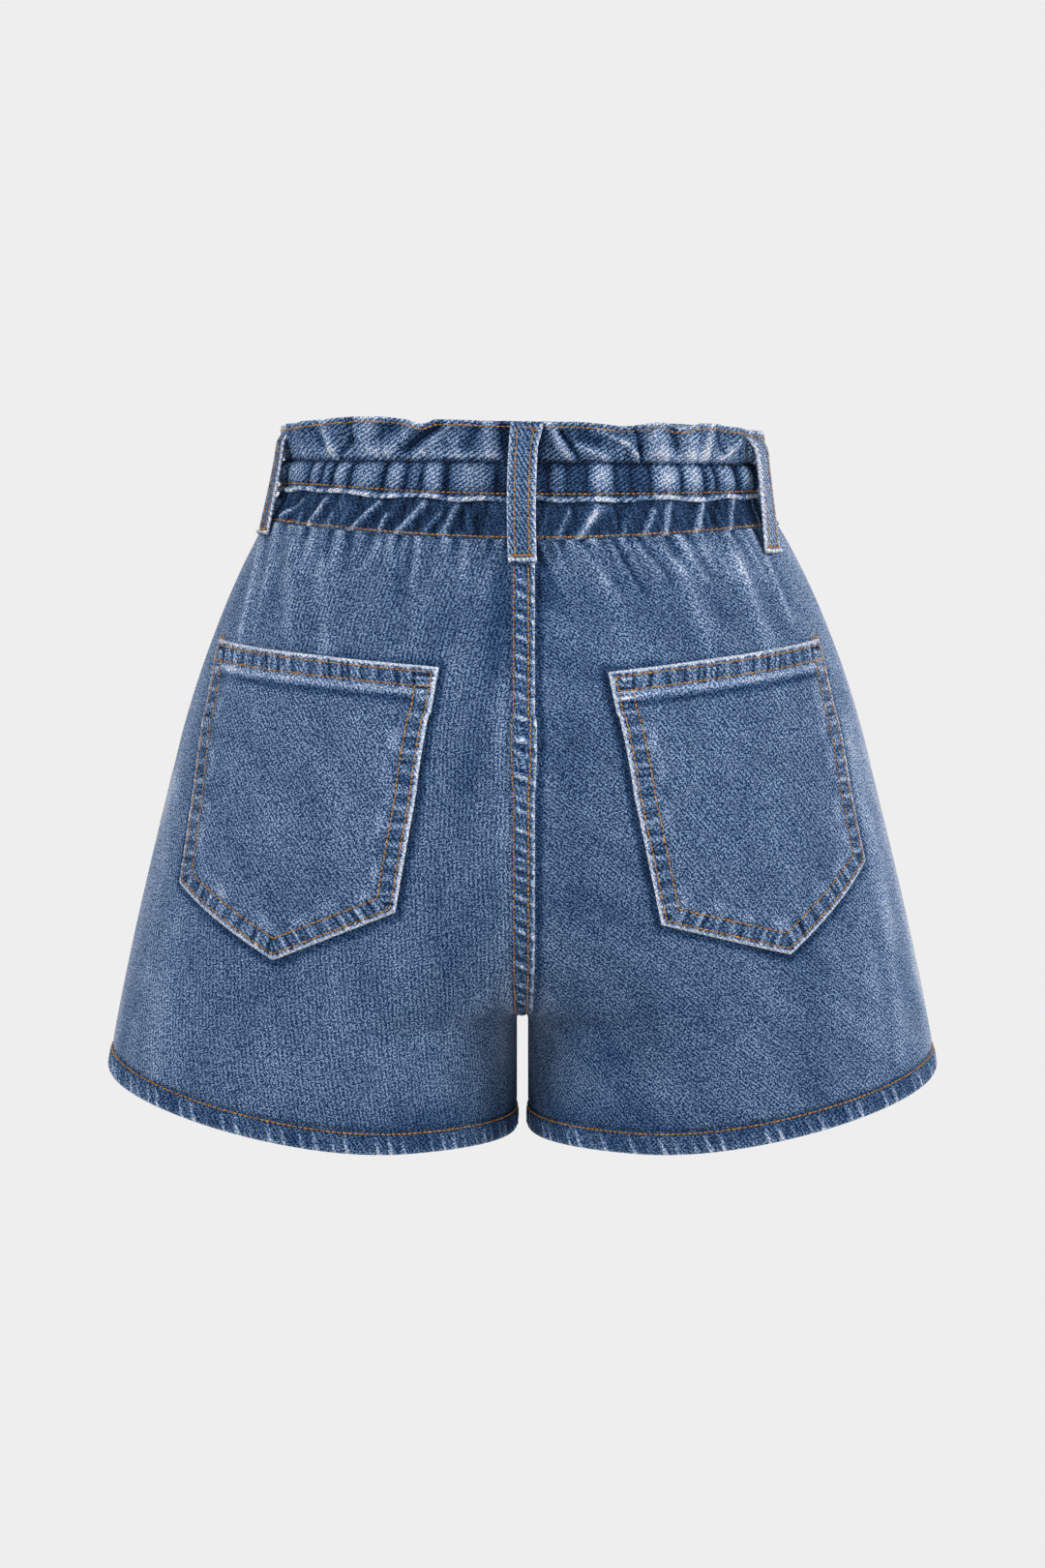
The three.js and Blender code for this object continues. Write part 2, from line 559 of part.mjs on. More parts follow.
// A patch pocket on one back panel, from the panel's own face moved out.
const POCKET_ROWS = 12;
const POCKET_COLUMNS = 14;
function makePocket(side, corners) {
  const { topIn, topOut, lowOut, tip, lowIn } = corners;
  const mix = (a, b, t) => ({ c: lerp(a.c, b.c, t), z: lerp(a.z, b.z, t) });
  const tipShare = (tip.c - lowIn.c) / (lowOut.c - lowIn.c);
  const tipColumn = Math.round(tipShare * POCKET_COLUMNS) / POCKET_COLUMNS;
  const net = Array.from({ length: POCKET_ROWS + 1 }, (_, i) => (
    Array.from({ length: POCKET_COLUMNS + 1 }, (__, j) => {
      const u = j / POCKET_COLUMNS;
      const low = u < tipColumn
        ? mix(lowIn, tip, u / tipColumn)
        : mix(tip, lowOut, (u - tipColumn) / (1 - tipColumn));
      return mix(mix(topIn, topOut, u), low, i / POCKET_ROWS);
    })
  ));
  const made = (out) => turned(
    net.map((row) => row.map((p) => SKINS.back[side].onFace(p.z, p.c, ON_TOP + out))),
    side,
  );
  return wall(`back_pocket_${side}`, PALE_DENIM, made(CLOTH), made(0), false);
}

// A belt loop: a strip sewn down at the frill's edge and below the band, bowed out between them.
// Its top follows the frill's wave, and its low end lies on the panel or on the back seam.
function makeBeltLoop({ name, half, topC, lowC, lowZ, bow }) {
  const LOOP_ROWS = 10;
  const ACROSS = [-1, -0.4, 0.4, 1].map((w) => (w * LOOP_WIDTH) / 2);
  const face = topC > WAIST.side ? 'front' : 'back';
  const tableX = along(0, topC).x * half * (face === 'front' ? -1 : 1);
  const top = FRILL_TOP + frillEdgeAt(topC === 0 ? 0 : tableX) - 0.8;
  const whole = 2 * WAIST.whole;
  const underLow = topC === 0 ? ON_TOP + CLOTH : 0;
  const sideOf = (c) => (topC === 0 && c < 0 ? -half : half);
  const frillEnd = (c, out) => {
    const at = (sideOf(c) * Math.abs(c) * (WAIST.whole / section(top).whole) + whole) % whole;
    return bodyPoint(sideOf(c), top, Math.abs(c), frillOut(at, top) + ON_TOP + out);
  };
  const lowEnd = (c, out) => SKINS[face][sideOf(c) < 0 ? 'left' : 'right']
    .onFace(lowZ, Math.abs(c), underLow + ON_TOP + out);
  const made = (out) => Array.from({ length: LOOP_ROWS + 1 }, (_, i) => {
    const t = i / LOOP_ROWS;
    const bowed = bow * Math.sin(Math.PI * t ** 0.6) + out;
    const row = ACROSS.map((w) => frillEnd(topC + w, bowed).lerp(lowEnd(lowC + w, bowed), t));
    return half < 0 ? row.reverse() : row;
  });
  return wall(name, PALE_DENIM, made(LOOP_CLOTH), made(0), false);
}

const shorts = new THREE.Group();
shorts.add(makeWaistband(), makeUnderBand());
for (const [side, half] of [['left', -1], ['right', 1]]) {
  shorts.add(makePanel(side, 'back'), makePanel(side, 'front'));
  shorts.add(makeHem(`hem_${side}`, half, 44));
  shorts.add(makePocket(side, POCKETS[side]));
}
shorts.add(makeBackSeam());
BELT_LOOPS.forEach((loop) => shorts.add(makeBeltLoop(loop)));

export default shorts;
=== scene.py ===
"""Denim shorts with a frilled elastic waist, filled out as if worn, seen from behind."""

import math

import bpy
import numpy as np
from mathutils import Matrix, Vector


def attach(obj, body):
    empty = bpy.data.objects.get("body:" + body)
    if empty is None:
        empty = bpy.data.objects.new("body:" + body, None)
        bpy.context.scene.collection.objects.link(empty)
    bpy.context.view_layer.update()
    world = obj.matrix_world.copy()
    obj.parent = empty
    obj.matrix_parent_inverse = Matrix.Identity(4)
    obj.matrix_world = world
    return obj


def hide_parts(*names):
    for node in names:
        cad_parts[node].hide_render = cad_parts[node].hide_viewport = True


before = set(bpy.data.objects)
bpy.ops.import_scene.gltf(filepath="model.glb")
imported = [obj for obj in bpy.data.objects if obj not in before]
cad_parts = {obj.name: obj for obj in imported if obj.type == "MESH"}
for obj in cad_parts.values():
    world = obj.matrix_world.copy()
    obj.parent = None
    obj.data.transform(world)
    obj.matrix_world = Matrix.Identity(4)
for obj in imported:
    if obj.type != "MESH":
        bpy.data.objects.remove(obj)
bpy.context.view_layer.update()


# Back panels
# Two pieces of washed indigo twill, from the waist seam to the hem and from the centre back to
# just forward of the hip. They are filled out as on a wearer, with soft folds below the gathers.

# The left half as seen from behind is -1, and the right half 1.
SIDES = (("left", -1), ("right", 1))
CROTCH = -286.0
HEM_HEIGHT = 12.5
SEAM_GAP = 0.02
LOBE_POWER = 2.25
SIDE_SEAM_FORWARD = 8.0

# height, half width
WIDTHS = (
    (30, 127), (0, 128), (-12, 131), (-26, 139), (-34, 143.5), (-55, 154), (-81, 165),
    (-107, 174.5), (-133, 182.5), (-159, 189), (-211, 202), (-264, 214), (-317, 224), (-350, 229),
)
# height, how far the back and the front stand from the side seams
DEPTHS = (
    (30, 89, 87), (0, 90, 88), (-34, 97, 92), (-81, 112, 97), (-133, 121, 100),
    (-180, 122, 101), (-230, 116, 98), (-286, 107, 94), (-350, 101, 90),
)
# height, where each side's rounded lobe ends across the centre plane
INNER_ENDS = (
    (-120, -178), (-160, -166), (-200, -128), (-240, -79), (-261, -39), (-276, -15),
    (-286, 3), (-350, 3),
)
# height, how far from the centre plane each side's lobe is deepest
LOBE_MIDDLES = (
    (-120, 0), (-160, 11), (-200, 35), (-240, 67), (-264, 87), (-286, 102), (-310, 112),
    (-350, 116),
)
# height, half width of the soft web of cloth that rounds the cleft
WEBS = ((-250, 10), (-276, 5), (-286, 3), (-290, 0))


def smooth(share):
    """0 to 1, easing in and out."""
    s = np.clip(share, 0.0, 1.0)
    return s * s * (3.0 - 2.0 * s)


def near(value, place, width):
    """1 at a place, falling to 0 a few widths away."""
    return np.exp(-(((value - place) / width) ** 2))


def curve(rows, column=1):
    """A smooth curve through a table's rows that never overshoots them."""
    table = np.array(sorted(rows), float)
    place = table[:, 0]
    value = table[:, column]
    slope = np.diff(value) / np.diff(place)
    tangent = np.zeros(len(place))
    tangent[0] = slope[0]
    tangent[-1] = slope[-1]
    product = slope[:-1] * slope[1:]
    total = np.where(product > 0, slope[:-1] + slope[1:], 1.0)
    tangent[1:-1] = np.where(product > 0, 2.0 * product / total, 0.0)

    def at(where):
        spot = np.clip(where, place[0], place[-1])
        i = np.clip(np.searchsorted(place, spot, side="right") - 1, 0, len(place) - 2)
        width = place[i + 1] - place[i]
        t = (spot - place[i]) / width
        low = (2 * t**3 - 3 * t**2 + 1) * value[i] + (t**3 - 2 * t**2 + t) * width * tangent[i]
        high = (3 * t**2 - 2 * t**3) * value[i + 1] + (t**3 - t**2) * width * tangent[i + 1]
        return low + high

    return at


ROW_STEP = 0.5
SHARES = 900
HEIGHTS = np.arange(-352.0, 41.0, ROW_STEP)


def body_sections():
    """Level sections of the right half, evenly spaced along the cloth from the centre back."""
    half = curve(WIDTHS)(HEIGHTS)
    back = curve(DEPTHS, 1)(HEIGHTS)
    front = curve(DEPTHS, 2)(HEIGHTS)
    web = curve(WEBS)(HEIGHTS)
    inner = np.where(HEIGHTS > -120, -half, np.maximum(-half, curve(INNER_ENDS)(HEIGHTS)))
    middle = curve(LOBE_MIDDLES)(HEIGHTS)
    cosine = (middle - np.maximum(web, inner)) / (middle - inner)
    start = np.arccos(np.clip(np.sign(cosine) * np.abs(cosine) ** (LOBE_POWER / 2), -1, 1))
    eased = np.linspace(0, 1, 241) ** 1.5
    turn = start[:, None] + (math.pi - start[:, None]) * eased
    cos = np.cos(turn)
    sin = np.abs(np.sin(turn)) ** (2 / LOBE_POWER)
    reach = np.where(cos > 0, (middle - inner)[:, None], (half - middle)[:, None])
    lobe = middle[:, None] - reach * np.sign(cos) * np.abs(cos) ** (2 / LOBE_POWER)
    x = np.sqrt(np.maximum(0, lobe**2 - web[:, None] ** 2))
    xs = np.hstack([x, x[:, -2::-1]])
    ys = np.hstack([-back[:, None] * sin, front[:, None] * sin[:, -2::-1]])
    step = np.hypot(np.diff(xs, axis=1), np.diff(ys, axis=1))
    run = np.hstack([np.zeros((len(HEIGHTS), 1)), np.cumsum(step, axis=1)])
    share = np.linspace(0, 1, SHARES + 1)
    even_x = np.array([np.interp(share * r[-1], r, v) for r, v in zip(run, xs)])
    even_y = np.array([np.interp(share * r[-1], r, v) for r, v in zip(run, ys)])
    return even_x, even_y, run[:, x.shape[1] - 1], run[:, -1]


SECTION_X, SECTION_Y, SIDE_RUN, WHOLE_RUN = body_sections()


def side_at(height):
    """Distance along the cloth from the centre back to where the body is widest."""
    return np.interp(height, HEIGHTS, SIDE_RUN)


def whole_at(height):
    """Distance along the cloth from the centre back to the centre front."""
    return np.interp(height, HEIGHTS, WHOLE_RUN)


def on_body(half, along, height):
    """x and y of the body's surface on one half, at a distance along the cloth and a height."""
    along, height = np.broadcast_arrays(along, height)
    whole = whole_at(height)
    is_leg = height < CROTCH
    past = np.where(along < 0, -along, np.where(along > whole, 2 * whole - along, along))
    turned = np.where((along < 0) | (along > whole), -1.0, 1.0)
    distance = np.where(is_leg, along % whole, past)
    turned = np.where(is_leg, 1.0, turned)
    row = np.clip((height - HEIGHTS[0]) / ROW_STEP, 0, len(HEIGHTS) - 1.001)
    i = row.astype(int)
    up = row - i
    column = np.clip(distance / whole * SHARES, 0, SHARES - 0.001)
    j = column.astype(int)
    over = column - j

    def read(table):
        low = table[i, j] * (1 - over) + table[i, j + 1] * over
        high = table[i + 1, j] * (1 - over) + table[i + 1, j + 1] * over
        return low * (1 - up) + high * up

    return read(SECTION_X) * turned * half, read(SECTION_Y)


NORMAL_STEP = 0.6
# The waist is a little lower on the right. The tilt fades out down to this height.
WAIST_TILT = 0.0095
TILT_DROP = 110.0


def cloth(half, along, height, out=0.0):
    """Points of the body's surface moved out along its normal, in millimetres."""
    along, height, out = np.broadcast_arrays(along, height, out)
    x, y = on_body(half, along, height)
    right_x, right_y = on_body(half, along + NORMAL_STEP, height)
    left_x, left_y = on_body(half, along - NORMAL_STEP, height)
    rise = np.where(height >= CROTCH, NORMAL_STEP, -NORMAL_STEP)
    high_x, high_y = on_body(half, along, height + rise)
    sign = np.sign(rise)
    across = np.stack([right_x - left_x, right_y - left_y, np.zeros_like(x)], -1)
    upward = np.stack([(high_x - x) * sign, (high_y - y) * sign, np.abs(rise)], -1)
    normal = np.cross(across, upward) * half
    normal /= np.maximum(np.linalg.norm(normal, axis=-1, keepdims=True), 1e-9)
    points = np.stack([x, y, height.astype(float)], -1) + normal * out[..., None]
    points[..., 0] = np.maximum(points[..., 0] * half, SEAM_GAP / 2) * half
    points[..., 2] -= WAIST_TILT * smooth((height + TILT_DROP) / TILT_DROP) * points[..., 0]
    return points


# Soft folds that hang from the gathers: place at the band, lean, length, half width, height
HANGING_FOLDS = (
    (-118, 0.05, 75, 7, 2.4), (-99, 0.05, 60, 7, 2.0), (-66, -0.1, 45, 8, 1.6),
    (-38, 0.15, 60, 9, 1.7), (36, 0.35, 70, 8, 2.0), (62, 0.3, 60, 7, 1.9),
    (86, 0.3, 90, 8, 2.4), (108, 0.35, 70, 7, 2.2),
)
BAND_SEAM = -31.0
BAND_RISE_AT_SIDE = 7.7
HEM_MIDDLE = -332.3
HEM_CURVE = 17.3
HEM_CURVE_LENGTH = 230.0


def band_seam_at(share):
    """Height of the panels' upper seam, by the share of the way from centre back to front."""
    return BAND_SEAM + BAND_RISE_AT_SIDE * np.sin(math.pi * share) ** 2


def hem_at(from_side):
    """Height of a leg's lower edge, which is highest at the side."""
    share = np.minimum(1, np.abs(from_side) / HEM_CURVE_LENGTH)
    return HEM_MIDDLE + HEM_CURVE * np.cos(math.pi * share)


# Puckers and worn streaks on the back panels, with painted shade down the valleys, straight
# from one place to another:
# x and height of the upper end, x and height of the lower end, half width, relief, paleness
BACK_STREAKS = (
    (-122, -48, -120, -84, 3.0, 0.5, 0.16), (-104, -44, -101, -88, 4.0, 0.5, 0.16),
    (-138, -35, -147, -80, 1.6, 0.9, 0.25), (-131, -36, -140, -84, 1.0, 0.7, 0.18),
    (-52, -33, -57, -56, 1.8, 1.0, 0.22), (-61, -33, -65, -44, 1.3, 0.7, 0.16),
    (-73, -33, -81, -45, 1.5, 1.0, 0.24), (-84, -33, -88, -42, 1.2, 0.6, 0.14),
    (-93, -33, -97, -45, 1.3, 0.6, 0.14), (-110, -33, -113, -48, 1.8, 0.8, 0.16),
    (-118, -33, -121, -44, 1.2, 0.7, 0.16), (-44, -33, -45, -48, 1.6, 0.5, 0.14),
    (-15, -40, -21, -60, 1.8, 0.8, 0.16), (-29, -34, -31, -50, 2.4, 0.5, 0.12),
    (-10, -78, -13, -150, 2.6, 0.2, 0.12), (-60, -44, -66, -80, 6.0, -0.6, -0.05),
    (81, -44, 99, -96, 3.6, 0.7, 0.2), (110, -42, 131, -92, 3.8, 0.7, 0.2),
    (127, -40, 140, -74, 1.3, 0.9, 0.24), (42, -50, 58, -100, 5.0, 0.4, 0.1),
    (29, -34, 43, -54, 1.7, 1.0, 0.2), (45, -34, 58, -55, 1.5, 0.9, 0.15),
    (57, -34, 72, -50, 1.9, 1.1, 0.22), (70, -34, 82, -48, 1.6, 1.0, 0.2),
    (80, -33, 94, -52, 1.8, 1.0, 0.2), (90, -33, 99, -46, 1.3, 1.0, 0.22),
    (97, -33, 108, -52, 1.5, 0.9, 0.16), (105, -33, 116, -54, 1.3, 0.9, 0.22),
    (116, -32, 127, -52, 1.4, 0.8, 0.22), (17, -34, 20, -46, 1.3, 0.7, 0.15),
    (22, -34, 26, -44, 1.1, 0.7, 0.14), (38, -36, 50, -56, 1.8, -0.9, -0.14),
    (52, -40, 64, -58, 2.2, -1.0, -0.16), (88, -44, 104, -72, 2.6, -0.7, -0.08),
    (66, -36, 76, -52, 1.4, -0.8, -0.12), (12, -36, 14, -60, 4.0, -0.4, -0.08),
    (170, -128, 194, -240, 4.5, 0.6, 0.2), (190, -215, 199, -300, 3.5, 0.5, 0.14),
    (180, -225, 186, -320, 6.0, 0.3, 0.1), (-184, -160, -199, -262, 5.0, 0.4, 0.13),
    (-188, -262, -194, -318, 7.0, 0.4, 0.14), (-146, -78, -152, -110, 2.2, 0.5, 0.14),
)


def streaks(table, x, height):
    """Relief and paleness of straight soft-edged ridges, or valleys where they are negative. The
    paleness is wear, with painted light on the ridges and painted shade in the valleys.
    """
    relief = np.zeros(np.shape(x))
    pale = np.zeros(np.shape(x))
    for x_high, high, x_low, low, width, rise, wear_and_shade in table:
        run = (x_low - x_high, low - high)
        length = math.hypot(*run)
        t = ((x - x_high) * run[0] + (height - high) * run[1]) / length**2
        t = np.clip(t, 0, 1)
        off = np.hypot(x - x_high - t * run[0], height - high - t * run[1])
        shape = near(off, 0.0, width)
        relief += rise * shape
        pale += wear_and_shade * shape
    return relief, pale


def x_from_behind(half, along, height):
    """x of a place on the cloth, mirrored on the front, which repeats the back."""
    x, _ = on_body(half, along, height)
    return np.where(along > side_at(height), -x, x)


def pleats(half, along, height):
    """Short pleats that the gathered seam presses into a panel's top edge, about -1.8 to 1.8."""
    back_x = x_from_behind(half, along, height)
    below = np.maximum(band_seam_at(along / whole_at(height)) - height, 0)
    place = back_x - np.where(back_x > 0, 0.5, -0.08) * below
    pleat = np.sin(place / 1.25 + 1.8 * np.sin(place / 9.0))
    pleat = pleat + 0.8 * np.sin(place / 2.1 + 1.2 * np.sin(place / 17.0) + 2.0)
    return pleat * np.exp(-below / (9.0 + 4.0 * np.sin(place / 6.0)))


def fold_at(half, along, height):
    """How far the panels' folds stand out at a place on the cloth."""
    back_x = x_from_behind(half, along, height)
    drop = BAND_SEAM - height
    total, _ = streaks(BACK_STREAKS, back_x, height)
    total *= 1.3
    for place, lean, length, width, high in HANGING_FOLDS:
        fade = smooth(1 - drop / length) * smooth((drop + 4) / 8)
        total += high * fade * np.exp(-(((back_x - place - lean * drop) / width) ** 2))
    total += 0.42 * pleats(half, along, height)
    # the edges of the panels sink into the seams at the sides and the centre front
    total -= 0.5 * near(along, side_at(height) + SIDE_SEAM_FORWARD, 1.4)
    total -= 0.5 * near(along, whole_at(height), 1.4)
    return total


def panel_place(face, height, share):
    """Distance along the cloth, by the share of a panel's width from its inner or side seam."""
    seam = side_at(height) + SIDE_SEAM_FORWARD
    if face == "back":
        return SEAM_GAP / 2 + (seam - SEAM_GAP) * share
    start = seam + SEAM_GAP / 2
    return start + (whole_at(height) - SEAM_GAP / 2 - start) * share


def panel_net(face, rows, columns):
    """Distances along the cloth and heights of a panel's grid of points."""
    v = np.linspace(0, 1, rows + 1)[:, None] ** 1.4
    u = np.linspace(0, 1, columns + 1)[None, :]
    seam_place = panel_place(face, np.array(BAND_SEAM), u)
    edge_place = panel_place(face, np.array(HEM_MIDDLE), u)
    top = band_seam_at(seam_place / whole_at(BAND_SEAM))
    bottom = hem_at(edge_place - side_at(HEM_MIDDLE)) + HEM_HEIGHT - 0.6
    height = top + (bottom - top) * v
    return panel_place(face, height, u), height


def linear(hex_colour):
    """An sRGB hex colour as the linear colour that a shader takes."""
    channels = [int(hex_colour[i:i + 2], 16) / 255 for i in (1, 3, 5)]
    return [c / 12.92 if c <= 0.04045 else ((c + 0.055) / 1.055) ** 2.4 for c in channels] + [1.0]


def bare_tree(owner):
    """The empty node tree of a material or world."""
    owner.use_nodes = True
    owner.node_tree.nodes.clear()
    return owner.node_tree


def add_node(tree, kind, inputs, **settings):
    """Adds a node with its settings, and links or sets its inputs."""
    node = tree.nodes.new(kind)
    for name, value in settings.items():
        setattr(node, name, value)
    for name, value in inputs.items():
        if isinstance(value, bpy.types.NodeSocket):
            tree.links.new(value, node.inputs[name])
        else:
            node.inputs[name].default_value = value
    return node


# The twill's ridges are 1.2 mm apart on the real cloth. They are drawn 2.1 mm apart, so that
# they still show as lines in the render.
TWILL_PITCH = 2.1
# Colour of the dark warp and of the pale flecks, from unworn cloth to the palest wash. The
# darkest stops also colour the painted shade in creases, grooves and valleys.
WARP_SHADES = ("#030a18", "#081b37", "#0e2d53", "#35547f", "#8b99b0")
WEFT_SHADES = ("#1a2d4c", "#47658b", "#879db8", "#bac4d2", "#efebec")
REVERSE_WARP = "#5f7090"
REVERSE_WEFT = "#b9c0cf"


def washed_indigo_twill(name, contrast, ridges_show):
    """Indigo warp over white weft, stone washed: dark blue diagonal ridges with pale flecks where
    the weft shows, paler and softer where the wash has worn the dye off, darker where shade is
    painted in and paler where light is. The reverse is pale."""
    material = bpy.data.materials.new(name)
    tree = bare_tree(material)

    def calc(operation, *values, clamp=False):
        inputs = dict(enumerate(values))
        node = add_node(tree, "ShaderNodeMath", inputs, operation=operation, use_clamp=clamp)
        return node.outputs[0]

    def noise(place, stretch, detail=2.0, roughness=0.5):
        """Noise that varies once in a millimetre, stretched by these amounts."""
        at = add_node(
            tree, "ShaderNodeVectorMath", {0: place, 1: (1 / stretch[0], 1 / stretch[1], 0.0)},
            operation="MULTIPLY")
        node = add_node(
            tree, "ShaderNodeTexNoise",
            {"Vector": at.outputs[0], "Scale": 1.0, "Detail": detail, "Roughness": roughness})
        return calc("SUBTRACT", node.outputs["Fac"], 0.5)

    grain = add_node(tree, "ShaderNodeUVMap", {}, uv_map="grain").outputs["UV"]
    # each point's wash holds its wear together with its painted light and shade
    wash_and_shade = add_node(tree, "ShaderNodeAttribute", {}, attribute_name="wash_and_shade").outputs["Fac"]
    inside = add_node(tree, "ShaderNodeAttribute", {}, attribute_name="inside").outputs["Fac"]
    parts = add_node(tree, "ShaderNodeSeparateXYZ", {"Vector": grain})

    # yarns wander a little, so the ridges aren't ruled lines
    across = calc("MULTIPLY_ADD", noise(grain, (9, 24)), 2.6, parts.outputs["X"])
    bent = add_node(
        tree, "ShaderNodeCombineXYZ", {"X": across, "Y": parts.outputs["Y"]}).outputs[0]
    ridge = calc("SINE", calc("MULTIPLY", across, 2 * math.pi / TWILL_PITCH))
    # pale weft shows in dashes down the ridges, and slubs and specks break them up
    dash = noise(bent, (1.2, 2.5), 2.0, 0.6)
    slub = noise(bent, (3.0, 9.0), 3.0, 0.6)
    speck = noise(grain, (0.8, 0.88), 1.0)
    weave = calc("MULTIPLY", ridge, ridges_show)
    weave = calc("MULTIPLY_ADD", dash, 1.5, weave)
    weave = calc("MULTIPLY_ADD", slub, 0.6, weave)
    weave = calc("MULTIPLY_ADD", speck, 4.6, weave)
    limits = {"From Min": 0.23 - 0.46 / contrast, "From Max": 0.23 + 0.46 / contrast}
    pale = add_node(
        tree, "ShaderNodeMapRange", {"Value": weave, **limits},
        interpolation_type="SMOOTHSTEP").outputs["Result"]

    # the wash is cloudy, and streaks down the warp
    fade_and_shade = calc("MULTIPLY_ADD", noise(grain, (20, 44), 4.0, 0.62), 0.46, wash_and_shade, clamp=True)

    def shades(stops):
        ramp = add_node(tree, "ShaderNodeValToRGB", {"Fac": fade_and_shade})
        ramp.color_ramp.elements[0].color = linear(stops[0])
        ramp.color_ramp.elements[1].color = linear(stops[-1])
        for place, stop in zip(np.linspace(0, 1, len(stops))[1:-1], stops[1:-1]):
            ramp.color_ramp.elements.new(float(place)).color = linear(stop)
        return ramp.outputs["Color"]

    def mix(amount, first, second):
        inputs = {"Factor": amount, 6: first, 7: second}
        return add_node(tree, "ShaderNodeMix", inputs, data_type="RGBA").outputs[2]

    face = mix(pale, shades(WARP_SHADES), shades(WEFT_SHADES))
    reverse = mix(pale, linear(REVERSE_WARP), linear(REVERSE_WEFT))
    bump = add_node(
        tree, "ShaderNodeBump", {"Height": weave, "Strength": 0.5, "Distance": 0.0003})
    surface = add_node(
        tree, "ShaderNodeBsdfPrincipled",
        {"Base Color": mix(inside, face, reverse), "Normal": bump.outputs[0], "Roughness": 0.92,
         "Specular IOR Level": 0.06})
    add_node(tree, "ShaderNodeOutputMaterial", {"Surface": surface.outputs[0]})
    return material


denim = washed_indigo_twill("washed_indigo_denim", 0.85, 0.2)


def grain_of(along, height, slope):
    """Places on the cloth turned so that the twill's ridges, which fall at this slope in degrees
    towards the right, run along the second number."""
    turn = math.radians(slope)
    across = along * math.sin(turn) + height * math.cos(turn)
    down = along * math.cos(turn) - height * math.sin(turn)
    return np.stack(np.broadcast_arrays(across, down), -1)


def quad_mesh(name, points, faces):
    """A smooth mesh of four-cornered faces, its points given in millimetres."""
    mesh = bpy.data.meshes.new(name)
    mesh.vertices.add(len(points))
    mesh.vertices.foreach_set("co", (points * 0.001).astype(np.float32).ravel())
    mesh.loops.add(len(faces) * 4)
    mesh.loops.foreach_set("vertex_index", faces.astype(np.int32).ravel())
    mesh.polygons.add(len(faces))
    mesh.polygons.foreach_set("loop_start", np.arange(0, len(faces) * 4, 4, dtype=np.int32))
    mesh.polygons.foreach_set("use_smooth", np.ones(len(faces), bool))
    mesh.update(calc_edges=True)
    return mesh


def add_piece(mesh, material):
    """Puts a mesh into the scene as a piece of the shorts."""
    mesh.materials.append(material)
    mesh.validate()
    piece = bpy.data.objects.new(mesh.name, mesh)
    bpy.context.scene.collection.objects.link(piece)
    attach(piece, "root")
    return piece


def cloth_piece(name, outer, inner, grain, wash_and_shade, material, ring=False):
    """A closed wall of cloth, from its outer and inner grids of points, its grain and its wash,
    which holds painted light and shade as well as wear.
    Rows run down and columns run anticlockwise seen from above. A ring's last column repeats
    its first."""
    if ring:
        outer, inner, wash_and_shade = outer[:, :-1], inner[:, :-1], wash_and_shade[:, :-1]
    rows, columns = outer.shape[:2]
    low = rows - 1
    right = columns - 1
    i, j = np.indices((low, columns if ring else right)).reshape(2, -1)
    k = np.arange(columns if ring else right)
    m = np.arange(low)
    # each strip's corners: row, column, and 0 on the outer grid or 1 on the inner
    strips = [
        ((i, j, 0), (i + 1, j, 0), (i + 1, j + 1, 0), (i, j + 1, 0)),
        ((i, j + 1, 1), (i + 1, j + 1, 1), (i + 1, j, 1), (i, j, 1)),
        ((0, k, 0), (0, k + 1, 0), (0, k + 1, 1), (0, k, 1)),
        ((low, k + 1, 0), (low, k, 0), (low, k, 1), (low, k + 1, 1)),
    ]
    if not ring:
        strips.append(((m + 1, 0, 0), (m, 0, 0), (m, 0, 1), (m + 1, 0, 1)))
        strips.append(((m, right, 0), (m + 1, right, 0), (m + 1, right, 1), (m, right, 1)))
    row, column, face = np.hstack([
        np.stack([np.stack(np.broadcast_arrays(*corner)) for corner in strip], -1)
        for strip in strips])
    points = np.vstack([outer.reshape(-1, 3), inner.reshape(-1, 3)])
    mesh = quad_mesh(name, points, (face * rows + row) * columns + column % columns)
    uv = mesh.uv_layers.new(name="grain")
    uv.data.foreach_set("uv", grain[row, column].astype(np.float32).ravel())
    wear_and_shade = mesh.attributes.new("wash_and_shade", "FLOAT", "POINT")
    wear_and_shade.data.foreach_set("value", np.tile(np.clip(wash_and_shade, 0, 1).ravel(), 2).astype(np.float32))
    reverse = mesh.attributes.new("inside", "FLOAT", "POINT")
    reverse.data.foreach_set("value", np.repeat([0.0, 1.0], rows * columns).astype(np.float32))
    return add_piece(mesh, material)


def facing_out(half, *grids):
    """Grids of a piece. The left half's columns are turned round, so that its face is outside."""
    return [grid[:, ::-1] if half < 0 else grid for grid in grids]


# corner, distance along the cloth from the centre back, height
POCKETS = {
    "left": {
        "top_in": (42.5, -95.5), "top_out": (184, -84.5), "low_out": (192, -210),
        "tip": (129, -246), "low_in": (65, -220),
    },
    "right": {
        "top_in": (43.5, -98), "top_out": (175, -83.5), "low_out": (194, -199),
        "tip": (139, -243.5), "low_in": (71, -226.5),
    },
}
POCKET_EDGES = ("top_in", "top_out", "low_out", "tip", "low_in")


def pocket_distances(corners, along, height):
    """Distance from each edge of a pocket, and the distance run along that edge."""
    result = []
    for k, name in enumerate(POCKET_EDGES):
        start = np.array(corners[name], float)
        end = np.array(corners[POCKET_EDGES[(k + 1) % 5]], float)
        line = (end - start) / np.hypot(*(end - start))
        run = (along - start[0]) * line[0] + (height - start[1]) * line[1]
        off = (along - start[0]) * line[1] - (height - start[1]) * line[0]
        result.append((off, run))
    return result
